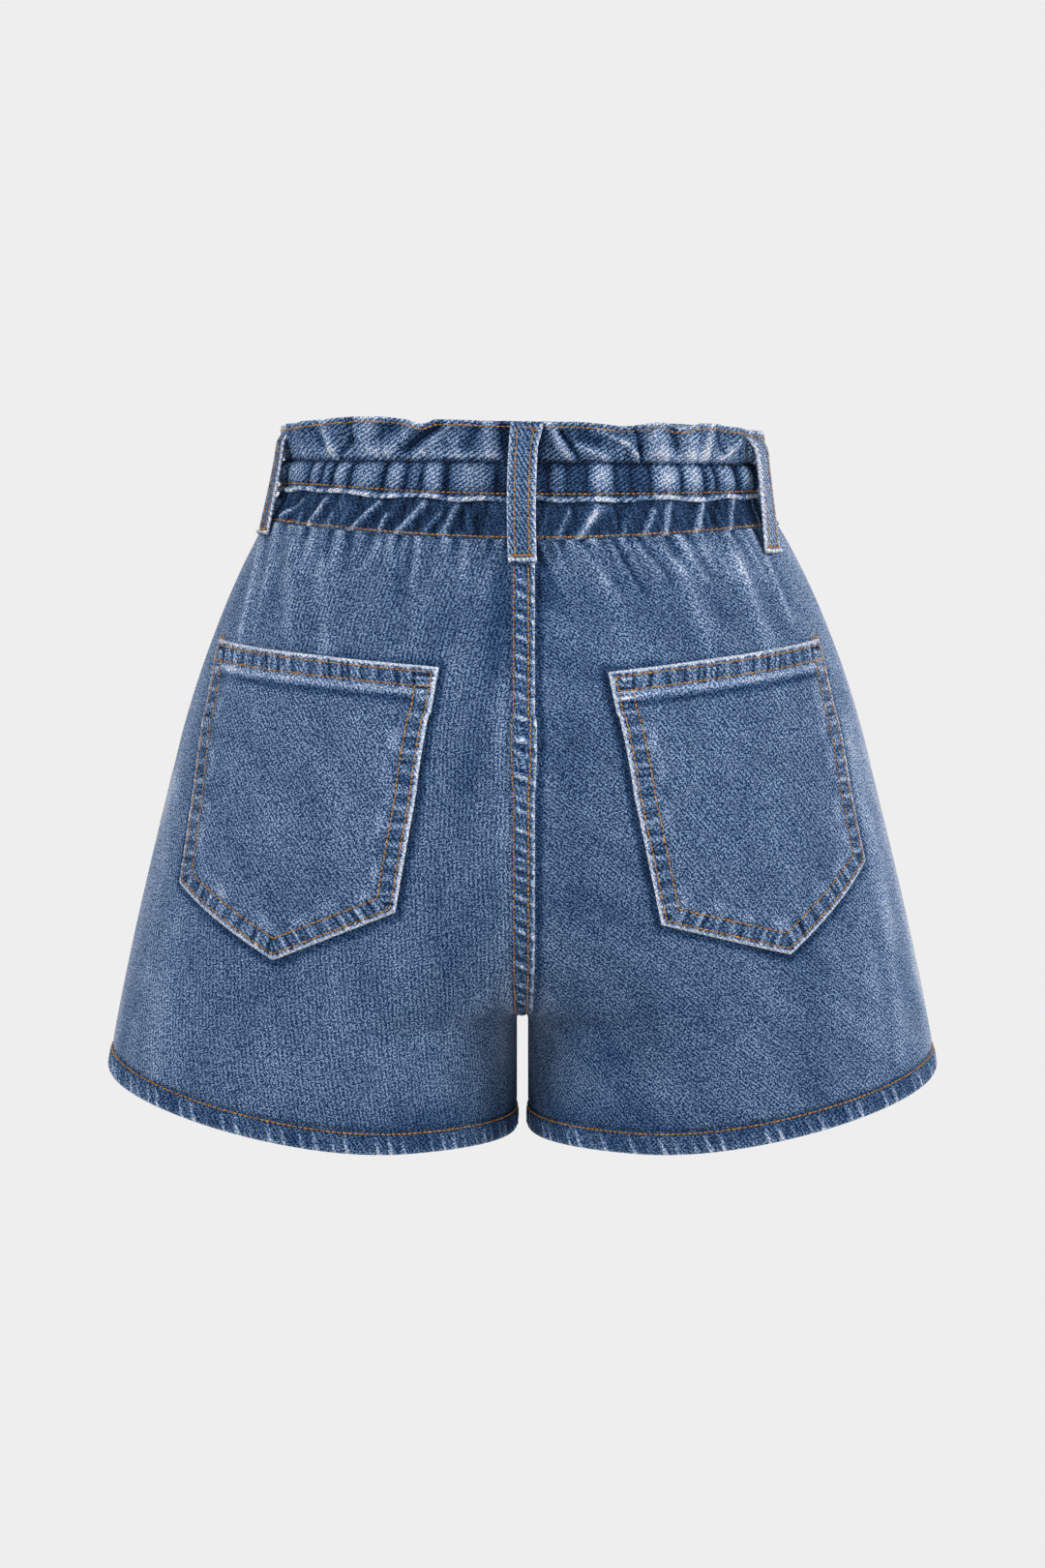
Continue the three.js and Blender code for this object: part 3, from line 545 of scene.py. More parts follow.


# Where the back is darker or paler than the rest: x, height, half width, half height, amount.
# The pale ones at the top of the cleft and on the left inner leg are painted light that lifts
# the shade there.
BACK_CLOUDS = (
    (-12, -75, 9, 55, -0.14), (10, -60, 8, 30, -0.08), (-90, -60, 60, 30, -0.02),
    (-27, -150, 10, 60, -0.06), (26, -170, 9, 60, -0.05), (60, -285, 14, 36, -0.05),
    (-150, -275, 20, 45, -0.05), (-178, -270, 9, 60, 0.07), (150, -275, 12, 50, -0.06),
    (60, -60, 50, 30, -0.04), (-120, -290, 60, 40, 0.05), (-40, -292, 36, 26, 0.05),
    (-50, -338, 70, 14, -0.1), (50, -338, 70, 14, -0.12), (42, -292, 36, 24, -0.05),
    (0, -292, 16, 30, 0.3), (120, -300, 70, 35, 0.03), (-110, -160, 60, 60, 0.03),
    (110, -160, 60, 60, 0.02),
)


def panel_wash_and_shade(half, along, height):
    """How far the wash has worn the panels' dye off, with painted light and shade added, from 0,
    dark, to 1, nearly white.
    """
    back_x = x_from_behind(half, along, height)
    _, level = streaks(BACK_STREAKS, back_x, height)
    # the folds and the pleats below the seam are paler on their crests and darker in their
    # valleys: wear, with painted light and shade
    level = 0.4 + 0.75 * level + 0.03 * fold_at(half, along, height)
    level += 0.19 * pleats(half, along, height)
    for place, at_height, wide, tall, amount in BACK_CLOUDS:
        off = ((back_x - place) / wide) ** 2 + ((height - at_height) / tall) ** 2
        level += amount * np.exp(-off)
    # painted shadow in the lee of the pockets' edges and of the centre seam's fold, where the
    # cloth is also less worn
    pocket = POCKETS["left" if half < 0 else "right"]
    edge = np.min([off for off, _ in pocket_distances(pocket, along, height)], axis=0)
    level -= 0.3 * near(edge, -1.8, 2.2) * smooth((-84 - height) / 16)
    if half > 0:
        level -= 0.26 * near(along, 8.6, 1.9)
    else:
        level += 0.12 * near(along, 9.0, 3.5) * smooth((-90 - height) / 30)
    # faded down each side, where the shorts crease as they are worn and washed, with painted
    # light along the sides' edges, as a rim light gives
    from_side = side_at(height) - along
    level += 0.16 * smooth((-60 - height) / 110) * near(from_side, 26.0, 14.0)
    level += 0.2 * near(from_side, 0.0, 36.0)
    level += (0.12 if half < 0 else 0.2) * near(from_side, 0.0, 74.0)
    return level


CLOTH = 1.2
HEM_TUCK = 0.5


def trouser_panel(name, half, face, rows, columns, slope):
    """One panel, tucked in behind its hem. Its twill's ridges fall at this slope."""
    along, height = facing_out(half, *panel_net(face, rows, columns))
    from_side = along - side_at(height)
    out = fold_at(half, along, height)
    out -= HEM_TUCK * smooth((hem_at(from_side) + HEM_HEIGHT + 1.5 - height) / 2)
    return cloth_piece(
        name,
        cloth(half, along, height, out),
        cloth(half, along, height, out - CLOTH),
        grain_of(from_side * half, height, slope),
        panel_wash_and_shade(half, along, height),
        denim,
    )


for side, half, slope in (("left", -1, 76), ("right", 1, 43)):
    panel = trouser_panel(f"back_panel_{side}_cloth", half, "back", 132, 168, slope)
    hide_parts(f"back_panel_{side}")


# Front panels
# The same cloth closes the front. The photograph doesn't show it, so it is plain, with a seam
# down its middle and the folds that the gathers give it.

for side, half, slope in (("left", -1, 45), ("right", 1, 72)):
    panel = trouser_panel(f"front_panel_{side}_cloth", half, "front", 100, 110, slope)
    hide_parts(f"front_panel_{side}")


# Centre back seam
# The left panel's edge is folded over the right one and sewn down with two rows. The fold's edge
# on the right is worn pale, and the seam puckers between its rows.

SEAM_LEFT = 5.7
SEAM_RIGHT = 6.3
SEAM_ROWS = (-4.5, 3.0)
SEAM_END = -279.5
# How far above the panels the seam's underside lies, and how far its relief is lifted
SEAM_UNDER = 0.12
SEAM_LIFT = 0.25


def panel_cloth(half, along, height, out):
    """Points that lie a distance above a panel's folded surface."""
    return cloth(half, along, height, fold_at(half, along, height) + out)


def seam_relief(across, height):
    """How far the felled seam stands above the panels, and how worn it is."""
    body = 0.35 + 1.35 * smooth((across + SEAM_LEFT) / 2.2)
    body *= 1 - 0.5 * smooth((across - SEAM_RIGHT + 1.0) / 1.0)
    rows = sum(near(across, row, 0.8) for row in SEAM_ROWS)
    slant = height + 0.45 * across
    pucker = np.sin(slant * 2 * math.pi / 5.4 + 2.3 * np.sin(height / 15))
    pucker = pucker + 0.7 * np.sin(slant * 2 * math.pi / 9.4 + 1.8 * np.sin(height / 31))
    # it puckers where the cloth is free of the rows
    free = near(across, -0.7, 3.2) + 0.7 * near(across, 5.2, 1.4)
    relief = body - 0.45 * rows + 0.4 * pucker * free
    rubbed = 0.34 * np.maximum(pucker, 0) + 0.12 * np.minimum(pucker, 0)
    # the rows' grooves are darkened with painted shade
    wear_and_shade = 0.36 + rubbed * free - 0.1 * rows + 0.5 * near(across, SEAM_RIGHT, 1.3)
    return relief, wear_and_shade


across = np.linspace(-SEAM_LEFT, SEAM_RIGHT, 21)[None, :]
height = np.linspace(BAND_SEAM - 1, SEAM_END, 320)[:, None]
across, height = np.broadcast_arrays(across, height)
relief, wear_and_shade = seam_relief(across, height)


def over_seam(out):
    """Points above both panels, on either side of the centre back."""
    left = panel_cloth(-1, -across, height, out)
    return np.where((across < 0)[..., None], left, panel_cloth(1, across, height, out))


back_seam = cloth_piece(
    "back_seam_cloth",
    over_seam(relief + SEAM_LIFT),
    over_seam(SEAM_UNDER),
    grain_of(across, height, 80),
    wear_and_shade,
    denim,
)
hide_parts("back_seam")


# Back pockets
# Five-cornered patch pockets of the same denim, their edges turned in and sewn down with two
# rows, and a turned hem across the top. The edges are worn pale and pucker along the rows.

# How far above the panel a pocket's underside lies, and how far its relief is lifted
POCKET_UNDER = 0.3
POCKET_LIFT = 0.35
# How far in from the pocket's edge its two rows of stitches run
POCKET_ROWS = (3.0, 10.2)


def pocket_relief(corners, along, height):
    """How far a pocket stands above its panel, and how worn it is."""
    edges = pocket_distances(corners, along, height)
    top, _ = edges[0]
    rim = np.min([off for off, _ in edges[1:]], axis=0)
    edge = np.minimum(top, rim)
    relief = 0.9 + 0.9 * smooth(edge / 1.4) + 0.5 * smooth((edge - 11) / 12)
    wear_and_shade = 0.45 + 0.7 * near(edge, 0.3, 1.5)
    for k, (off, run) in enumerate(edges):
        is_nearest = off <= (edge if k == 0 else rim) + 0.01
        inside_rows = smooth((off - 0.6) / 1.5) * (1 - smooth((off - 9.8) / 2.8))
        phase = run * 2 * math.pi / 4.0 + 2.6 * np.sin(run / 8.0 + k) + 0.3 * off
        pucker = np.sin(phase) * (0.75 + 0.45 * np.sin(run / 6.3 + 2.0 * k))
        pucker = pucker + 0.7 * np.sin(run * 2 * math.pi / 8.9 + 1.5 * np.sin(run / 21.0) + 1.3)
        strength = np.where(is_nearest, inside_rows, 0.0)
        relief = relief + 0.32 * pucker * strength
        wear_and_shade = wear_and_shade + (0.22 * pucker - 0.02) * strength
        # painted shade along the rows' grooves
        for row in POCKET_ROWS:
            groove = np.where(is_nearest, near(off, row, 0.8), 0.0)
            relief = relief - 0.4 * groove
            wear_and_shade = wear_and_shade - 0.08 * groove
    # the turned hem across the top is thicker, and its fold shows as a pale roll with a painted
    # shadow along its lower edge
    hem_roll = near(top, 13.2, 2.0) * smooth((rim - 1.5) / 3.0)
    relief = relief + 0.55 * smooth((16.4 - top) / 1.4) * smooth(rim / 2.0) + 0.3 * hem_roll
    wear_and_shade = wear_and_shade + 0.32 * hem_roll - 0.28 * near(top, 17.4, 1.7) * smooth((rim - 6) / 4.0)
    # inside the rows the cloth is rubbed pale in patches where the seams shrank
    patch = np.sin(along / 3.1 + 0.7 * np.sin(height / 5.0)) * np.sin(height / 4.3 + 1.0)
    wear_and_shade = wear_and_shade + (0.07 + 0.16 * patch) * near(rim, 14.5, 3.6) * smooth((top - 18) / 5)
    return relief, wear_and_shade


def uneven(shares, steps):
    """Shares of a length, with so many even steps from each of these to the next."""
    ends = np.concatenate([[0], np.cumsum(steps)])
    return np.interp(np.arange(ends[-1] + 1), ends, shares)


for side, half in SIDES:
    corners = {name: np.array(value, float) for name, value in POCKETS[side].items()}
    tip_share = corners["tip"][0] - corners["low_in"][0]
    tip_share /= corners["low_out"][0] - corners["low_in"][0]
    down = uneven((0, 0.11, 0.9, 1), (22, 62, 22))[:, None, None]
    u = uneven((0, tip_share, 1), (61, 57))
    lower = np.stack([corners[name] for name in ("low_in", "tip", "low_out")], -1)
    low = np.stack([np.interp(u, (0, tip_share, 1), place) for place in lower], -1)
    high = corners["top_in"] + (corners["top_out"] - corners["top_in"]) * u[:, None]
    net = high[None] + (low - high)[None] * down
    along, height = facing_out(half, net[..., 0], net[..., 1])
    relief, wear_and_shade = pocket_relief(POCKETS[side], along, height)
    # the pocket takes on the panel's wash, with its painted light and shade
    wear_and_shade = wear_and_shade + 0.6 * (panel_wash_and_shade(half, along, height) - 0.44)
    pocket = cloth_piece(
        f"back_pocket_{side}_cloth",
        panel_cloth(half, along, height, relief + POCKET_LIFT),
        panel_cloth(half, along, height, POCKET_UNDER),
        grain_of(along * half, height, 56 if half < 0 else 50),
        wear_and_shade,
        denim,
    )
    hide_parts(f"back_pocket_{side}")


# Leg hems
# The panels' lower edges are turned up twice inside and sewn with one row, 11 mm above the edge.
# The doubled cloth ropes, so slanting streaks are worn pale along it.

HEM_STITCH = 11.0
HEM_CLOTH = 2.3


def hem_relief(half, run, above):
    """How far a hem stands out of the panel's surface, and how worn it is."""
    place = run % whole_at(HEM_MIDDLE)
    slant = place * half + 0.3 * above
    rope = np.sin(slant * 2 * math.pi / 7.9 + 1.5 * np.sin(place / 31.0))
    rope = rope + 0.5 * np.sin(slant * 2 * math.pi / 5.9 + 1.2 * np.sin(place / 17.0))
    middle = smooth(above / 1.5) * smooth((HEM_STITCH - above + 1.0) / 3.0)
    relief = 0.25 + 0.5 * rope * middle - 0.4 * near(above, HEM_STITCH, 0.9)
    relief -= 0.5 * smooth(1 - above / 1.2) + 0.25 * smooth((above - HEM_HEIGHT + 0.8) / 0.8)
    streak = np.clip((rope - 0.15) / 1.1, 0, 1) ** 1.5
    low = 1.0 - 0.55 * smooth(above / HEM_STITCH)
    wear_and_shade = 0.25 + 0.7 * streak * low * smooth((HEM_STITCH - above) / 2.5) - 0.05 * rope * middle
    # the bottom edge is worn pale; the darker line at the row is painted shade in its groove
    wear_and_shade += 0.24 * near(above, 0.0, 1.4) - 0.08 * near(above, HEM_STITCH, 0.9)
    wear_and_shade += 0.2 * near(place, side_at(HEM_MIDDLE), 60.0)
    return relief, wear_and_shade


def hem_place(run, above):
    """Distance along the cloth and height of a place on a leg's hem."""
    whole = whole_at(HEM_MIDDLE)
    place = run % whole
    height = hem_at(place - side_at(HEM_MIDDLE)) + above
    return place * whole_at(height) / whole, height


HEM_COLUMNS = 560
HEM_ROWS = (12.5, 12.1, 11.6, 11, 10.4, 9.6, 8.6, 7.4, 6, 4.6, 3.2, 2, 1.2, 0.6, 0.2, 0)
for side, half in SIDES:
    run = half * np.arange(HEM_COLUMNS + 1) * whole_at(HEM_MIDDLE) / HEM_COLUMNS
    run, above = np.broadcast_arrays(run[None, :], np.array(HEM_ROWS)[:, None])
    relief, wear_and_shade = hem_relief(half, run, above)
    along, height = hem_place(run, above)
    hem = cloth_piece(
        f"hem_{side}_cloth",
        cloth(half, along, height, relief),
        cloth(half, along, height, relief * 0.4 - HEM_CLOTH),
        grain_of(run * half, height, 55),
        wear_and_shade,
        denim,
        ring=True,
    )
    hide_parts(f"hem_{side}")


# Gathered band
# A strip of the same denim below the casing, gathered into slanting ridges and sewn to the
# panels with one row. It is coloured much darker than the panels.

# washed softer than the panels, its ridges almost gone
soft_denim = washed_indigo_twill("soft_indigo_denim", 0.55, 0.14)

WAIST_SIDE = float(side_at(0.0))
WAIST_WHOLE = float(whole_at(0.0))
WAIST_ROUND = 2 * WAIST_WHOLE
CASING_EDGE = -11.8
BAND_RIDGES = (
    # x on the back, height of the ridge, lean
    (-118, 1.6, 0.2), (-112, 1.7, 0.5), (-101, 1.5, 0.3), (-94, 1.9, 0.3), (-86, 1.2, 0.0),
    (-78, 1.3, 0.0), (-67.7, 2.1, 0.8), (-56, 1.6, 0.4), (-43.4, 2.1, 0.75), (-36, 1.4, 0.5),
    (-26, 1.7, 0.4), (-10, 1.2, 0.0), (14.7, 1.5, 0.4), (31, 2.1, 0.45), (42, 1.3, 0.3),
    (52, 1.7, 0.6), (64, 2.1, 0.4), (77, 1.3, 0.3), (87, 2.0, 0.45), (98, 1.9, 0.45),
    (106, 1.5, 0.3), (114, 1.8, 0.05), (121, 1.6, 0.3), (124, 1.8, 0.5), (126.4, 1.5, 0.3),
    (-122, 1.5, 0.3), (-124.5, 1.8, 0.4), (-126.6, 1.5, 0.3),
)
# Sharp creases on the ridges, worn pale with painted light on them, as in BACK_STREAKS
BAND_STREAKS = (
    (-111, -12, -119, -22, 1.1, 1.4, 0.4), (-99, -12, -105, -30, 1.4, 1.9, 0.5),
    (-109, -18, -110, -27, 1.0, 0.8, 0.16), (-90, -14, -95, -27, 3.6, 0.8, 0.14),
    (-72, -13, -84, -29, 1.3, 1.9, 0.5), (-66, -19, -69, -29, 1.1, 1.2, 0.42),
    (-49, -13, -60, -29, 1.4, 1.9, 0.5), (-40, -18, -47, -28, 1.2, 0.9, 0.22),
    (-33, -14, -38, -30, 1.8, 1.4, 0.34), (-27, -16, -25, -28, 1.1, 0.6, 0.16),
    (-86, -16, -89, -25, 1.1, 0.7, 0.16), (-116, -18, -121, -28, 1.2, 0.8, 0.14),
    (23, -16, 16, -31, 1.4, 1.3, 0.3), (38, -14, 26, -31, 1.7, 1.9, 0.46),
    (41, -15, 34, -21, 2.4, 0.8, 0.2), (45, -21, 43, -29, 1.0, 0.6, 0.14),
    (50, -21, 47, -31, 1.1, 0.8, 0.2), (65, -16, 56, -31, 1.3, 1.5, 0.38),
    (74, -12, 67, -30, 1.6, 1.9, 0.5), (90, -13, 82, -29, 1.4, 1.8, 0.5),
    (92, -17, 91, -26, 0.9, 0.8, 0.22), (107, -10, 99, -28, 1.5, 1.7, 0.46),
    (110, -19, 109, -27, 0.9, 0.8, 0.26), (118, -10, 116, -26, 1.2, 1.3, 0.38),
    (12, -16, 8, -30, 1.5, 0.6, 0.12), (-15, -14, -17, -29, 2.0, 0.4, 0.06),
    (122.5, -12, 121, -28, 1.3, 1.3, 0.34), (126, -13, 125, -29, 1.5, 1.6, 0.4),
    (-123.5, -13, -125, -29, 1.3, 1.5, 0.38), (-126.2, -12, -127, -28, 1.5, 1.3, 0.34),
)


def waist_place(x):
    """Distance along the waist from the centre back, to a place on the back at this x."""
    reach = np.linspace(0, WAIST_SIDE, 800)
    across, _ = on_body(1, reach, np.zeros_like(reach))
    past = max(0.0, abs(x) - float(across[-1]))
    return (float(np.interp(abs(x), across, reach)) + past) * (1 if x >= 0 else -1)


def apart(along, place=0.0):
    """Distance round the waist between two places, with its sign."""
    return (along - place + WAIST_WHOLE) % WAIST_ROUND - WAIST_WHOLE


def round_the_waist(table):
    """The marks of a table all round the waist. The front repeats the back, right to left."""
    marks = []
    for x, high, lean in table:
        place = waist_place(x)
        marks.append((place, high, lean))
        marks.append((WAIST_WHOLE - place, high, lean))
    return marks


def between(marks, along, shift):
    """Share of the way from the mark before a place to the one after, and the height of both
    blended by it. A mark leans as it rises, by its lean for each millimetre of shift."""
    places = [place + lean * shift for place, _, lean in marks]
    behind = np.stack([(along - place) % WAIST_ROUND for place in places])
    ahead = np.stack([(place - along) % WAIST_ROUND for place in places])
    high = np.array([mark[1] for mark in marks])
    before = behind.argmin(0)
    after = ahead.argmin(0)
    back = behind.min(0)
    share = back / np.maximum(back + ahead.min(0), 1e-6)
    return share, high[before] * (1 - share) + high[after] * share


def waist_streaks(table, along, height):
    """The streaks of a table all round the waist. The front repeats the back, right to left."""
    relief = 0.0
    pale = 0.0
    for x_high, high, x_low, low, width, rise, wear_and_shade in table:
        top = waist_place(x_high)
        bottom = waist_place(x_low)
        for place, run in ((top, bottom - top), (WAIST_WHOLE - top, bottom - top)):
            row = ((0.0, high, run, low, width, rise, wear_and_shade),)
            one = streaks(row, apart(along, place), height)
            relief = relief + one[0]
            pale = pale + one[1]
    return relief, pale


def casing_rise(along):
    """How much higher the casing's lower edge runs than at the centre back, most at the left."""
    share = np.abs(along) / WAIST_WHOLE
    return 2.4 * np.sin(math.pi * share) ** 2 + 2.0 * near(along, -125.0, 55.0)


def casing_edge_at(along):
    """Height of the casing's lower edge, wavy where the elastic gathers it."""
    wave = np.sin(along / 5.1 + 1.3 * np.sin(along / 23.0)) + 0.6 * np.sin(along / 9.3 + 1.0)
    return CASING_EDGE + casing_rise(along) + 0.55 * wave


def ring_cloth(along, height, out):
    """Points round the waist, moved out of the body's surface."""
    place = along % WAIST_ROUND
    is_right = place <= WAIST_WHOLE
    share = np.where(is_right, place, WAIST_ROUND - place) / WAIST_WHOLE
    on_cloth = np.clip(share * whole_at(height), 0.01, whole_at(height) - 0.01)
    right = cloth(1, on_cloth, height, out)
    left = cloth(-1, on_cloth, height, out)
    return np.where(is_right[..., None], right, left)


ridges = round_the_waist(BAND_RIDGES)


def band_relief(along, height):
    """How far the band's ridges stand out, and how worn they are."""
    share, high = between(ridges, along, height - (BAND_SEAM + CASING_EDGE) / 2)
    relief = 0.3 + 0.95 * high * (np.abs(np.cos(math.pi * share)) ** 1.6 - 0.45)
    sharp, pale = waist_streaks(BAND_STREAKS, along, height)
    fine = np.sin(along / 0.62 + 2.0 * np.sin(along / 11.0)) + np.sin(along / 1.15 + 0.3 * height)
    seam = band_seam_at(np.abs(apart(along)) / WAIST_WHOLE)
    free = smooth((height - seam - 0.3) / 3.0)
    relief = relief * free + 0.3 * (1 - free) + 1.1 * sharp * (0.3 + 0.7 * free)
    relief += 0.13 * fine * (1.6 - free)
    # the ridges are a little paler and the valleys darker, as painted light and shade
    wear_and_shade = 0.09 + 1.15 * pale + 0.05 * relief + 0.03 * fine + 0.16 * (1 - free)
    return relief, wear_and_shade


BAND_COLUMNS = 880
run = np.arange(BAND_COLUMNS + 1) * WAIST_ROUND / BAND_COLUMNS
share = np.abs(apart(run)) / WAIST_WHOLE
top = casing_edge_at(apart(run)) + 4.0
bottom = band_seam_at(share) + 0.1
step = np.linspace(0, 1, 27)[:, None]
height = top + (bottom - top) * step
along = np.broadcast_to(run, height.shape)
relief, wear_and_shade = band_relief(along, height)
under_band = cloth_piece(
    "under_band_cloth",
    ring_cloth(along, height, relief),
    ring_cloth(along, height, relief - CLOTH),
    grain_of(along, height, 66),
    wear_and_shade,
    soft_denim,
    ring=True,
)
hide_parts("under_band")


# Waistband
# One strip of denim folded over at the top. A row of gathers divides it into a frill above and a
# casing below, which holds the elastic. The folds and the raw lower edge are worn pale.

# crisper than the panels, its ridges plain to see
crisp_denim = washed_indigo_twill("crisp_indigo_denim", 0.95, 0.36)

DOUBLED_CLOTH = 1.6
FRILL_TOP = 29.3
# How far the stitches of the frill's edge run below it
FRILL_STITCH = 2.8
GATHER_SEAM = 9.0
CASING_STITCH = -7.6
CASING_CREASES = (
    # x on the back, depth of the crease, lean
    (-122, 2.0, 0.3), (-109.5, 1.6, 0.35), (-103, 1.5, 0.35), (-97, 2.4, 0.35), (-88, 1.5, 0.25),
    (-70, 2.2, 0.2), (-58.5, 1.6, 0.2), (-51, 1.8, 0.15), (-38.5, 2.0, 0.1), (-13, 2.3, 0.0),
    (13, 1.2, 0.0), (22, 1.4, 0.0), (32.5, 2.0, 0.0), (46.5, 2.0, 0.0), (55, 1.2, 0.0),
    (65.3, 2.0, -0.05), (80.7, 2.1, -0.1), (92.8, 2.0, -0.1), (98.6, 1.7, -0.2),
    (110, 2.0, -0.3), (120, 1.8, -0.3), (124.6, 1.8, 0.0), (126.5, 1.6, 0.0),
    (-125, 1.6, 0.2), (-126.5, 1.6, 0.0),
)
# Puffs of the casing that stand out and are worn pale, or hang back and stay dark, partly as
# painted shade, which also lies in the gap beside the centre back loop. Their paleness is
# highest in each puff's middle, partly wear and partly painted light. Left and right end on
# the back, relief, paleness
CASING_PUFFS = (
    (-122, -110.5, 0.5, 0.40), (-108.5, -104, 0.4, 0.42), (-102, -98.5, 0.2, 0.3),
    (-96, -89, 0.7, 0.54), (-87, -71.5, 0.6, 0.44), (-69, -60.5, 0.7, 0.48),
    (-57.5, -52.5, 0.2, 0.2), (-50, -41, 0.8, 0.50), (-37, -15, 0.6, 0.46), (-4, 6, 0.0, 0.1),
    (14, 21.5, 0.3, 0.22), (22.5, 32, -0.5, -0.04), (34, 46, 1.0, 0.56), (47, 64.5, -0.5, 0.02),
    (66, 80, 1.1, 0.62), (82, 92, 0.9, 0.58), (93.8, 98, 0.2, 0.24), (100, 109, 0.8, 0.52),
    (112, 119.5, 0.7, 0.5), (121.3, 124.2, 0.8, 0.48), (125, 126.2, 0.3, 0.3),
    (126.7, 127.9, 0.8, 0.46), (-124.8, -122.6, 0.7, 0.44), (-126.2, -125.1, 0.3, 0.24),
    (-127.9, -126.7, 0.8, 0.42),
)
FRILL_WAVES = (
    # x on the back, how far the crest stands out, lean
    (-114, 2.6, 0.1), (-98, 3.0, 0.4), (-78, 3.2, -0.6), (-60, 2.4, -0.8), (-44, 2.8, -0.6),
    (-24, 2.6, -0.3), (-4, 1.6, 0.0), (17, 3.2, 0.5), (33, 2.6, 0.6), (50, 3.4, 0.7),
    (66, 3.0, 0.1), (87, 2.8, 0.2), (98, 2.8, 0.0), (110, 2.4, 0.0), (122, 2.4, 0.1),
    (126, 2.6, -0.3), (-122, 2.4, 0.1), (-126, 2.6, -0.2),
)
FRILL_EDGE = (
    # x on the back, rise of the top edge
    (-126, -2.2), (-103, 0.7), (-79, 2.3), (-59, 0.7), (-51, -1.5), (-44, 0.9), (-12, 0.2),
    (30, 0), (52, -1.8), (70, 0.3), (81, -2.1), (93, 0.3), (110, -1.6), (126, -4),
)
# Folds of the frill, as in BACK_STREAKS. The pale crests carry painted light as well as wear,
# the dark valleys painted shade, and the dark streaks beside the loops are their painted shadows
FRILL_STREAKS = (
    (-103, 28, -97, 10, 2.6, 1.6, 0.30), (-109, 25, -104, 16, 2.2, -1.2, -0.14),
    (-118, 24, -113, 11, 3.6, 0.3, 0.08), (-88, 30, -88, 20, 1.8, -1.8, -0.26),
    (-88, 20, -95, 10, 1.5, -1.8, -0.26), (-80, 29, -75, 11, 6.5, 1.2, 0.26),
    (-67, 27, -76, 19, 2.8, -0.9, -0.2), (-54, 29, -68, 13, 3.2, 1.4, 0.26),
    (-43, 26, -60, 15, 2.8, -1.9, -0.3), (-39, 26, -56, 10, 2.4, 1.4, 0.24),
    (-23, 26, -29, 16, 2.8, -1.1, -0.2), (-18, 27, -16, 12, 4.2, 1.1, 0.24),
    (-34, 20, -33, 10, 2.2, 0.7, 0.16), (-50, 12, -16, 11.5, 1.4, 0.4, 0.14),
    (-10, 27, -9, 11, 2.8, -1.0, -0.34), (8, 26, 8, 11, 3.0, -1.0, -0.32),
    (13, 28, 24, 10, 2.1, 1.9, 0.36), (20, 24, 29, 11, 1.5, -1.9, -0.28),
    (29, 23, 38, 20, 4.0, -0.6, -0.16), (37, 25, 52, 19, 1.9, 1.5, 0.26),
    (52, 19, 57.5, 13.5, 1.7, 1.8, 0.28), (57.5, 13.5, 61, 6, 1.2, 1.9, 0.26),
    (29, 17, 45, 10, 1.9, 1.2, 0.26), (58, 26, 62, 10, 1.5, -1.9, -0.28),
    (66, 28, 72, 10, 6.4, 1.5, 0.3), (77, 27, 80, 16, 2.4, -1.4, -0.26),
    (85, 20, 87, 9, 5.6, 1.2, 0.26), (96, 28, 94, 11, 2.5, 1.4, 0.34),
    (99.5, 24, 104, 15, 1.5, -1.5, -0.26), (103, 11, 111, 20, 2.1, 1.3, 0.32),
    (113, 19, 114, 11, 1.4, -1.2, -0.26), (118, 27, 119, 10, 1.4, 1.2, 0.24),
    (122.5, 27, 123, 10, 3.2, 1.2, 0.26), (125.4, 25, 125, 12, 2.2, -1.3, -0.24),
    (126.8, 28, 127, 11, 4.0, 1.3, 0.28), (-123, 25, -122.5, 11, 2.2, -1.2, -0.22),
    (-125.5, 28, -125, 10, 3.6, 1.3, 0.28), (-127, 24, -127, 11, 2.0, -1.2, -0.22),
)
creases = round_the_waist(CASING_CREASES)
waves = round_the_waist(FRILL_WAVES)
frill_edge = curve(FRILL_EDGE)


def frill_top_at(along):
    """Height of the frill's top edge round the waist."""
    place = apart(along)
    share = np.abs(place)
    half_x, _ = on_body(1, share, np.zeros_like(share))
    x = half_x * np.sign(place)
    is_front = share > WAIST_SIDE
    return FRILL_TOP + frill_edge(np.where(is_front, -x, x))


def puffs(along, height):
    """Relief and paleness that CASING_PUFFS adds round the waist."""
    relief = 0.0
    pale = 0.0
    for left, right, rise, wear_and_shade in CASING_PUFFS:
        start = waist_place(left)
        end = waist_place(right)
        lean = 0.35 * smooth(-(left + 30) / 80) - 0.25 * smooth((left - 60) / 50)
        for place in ((start + end) / 2, WAIST_WHOLE - (start + end) / 2):
            off = np.abs(apart(along, place) - lean * (height - 1.0))
            shape = np.sqrt(np.maximum(0, 1 - (off / ((end - start) / 2 + 0.6)) ** 2))
            relief = relief + rise * shape
            pale = pale + wear_and_shade * shape
    return relief, pale


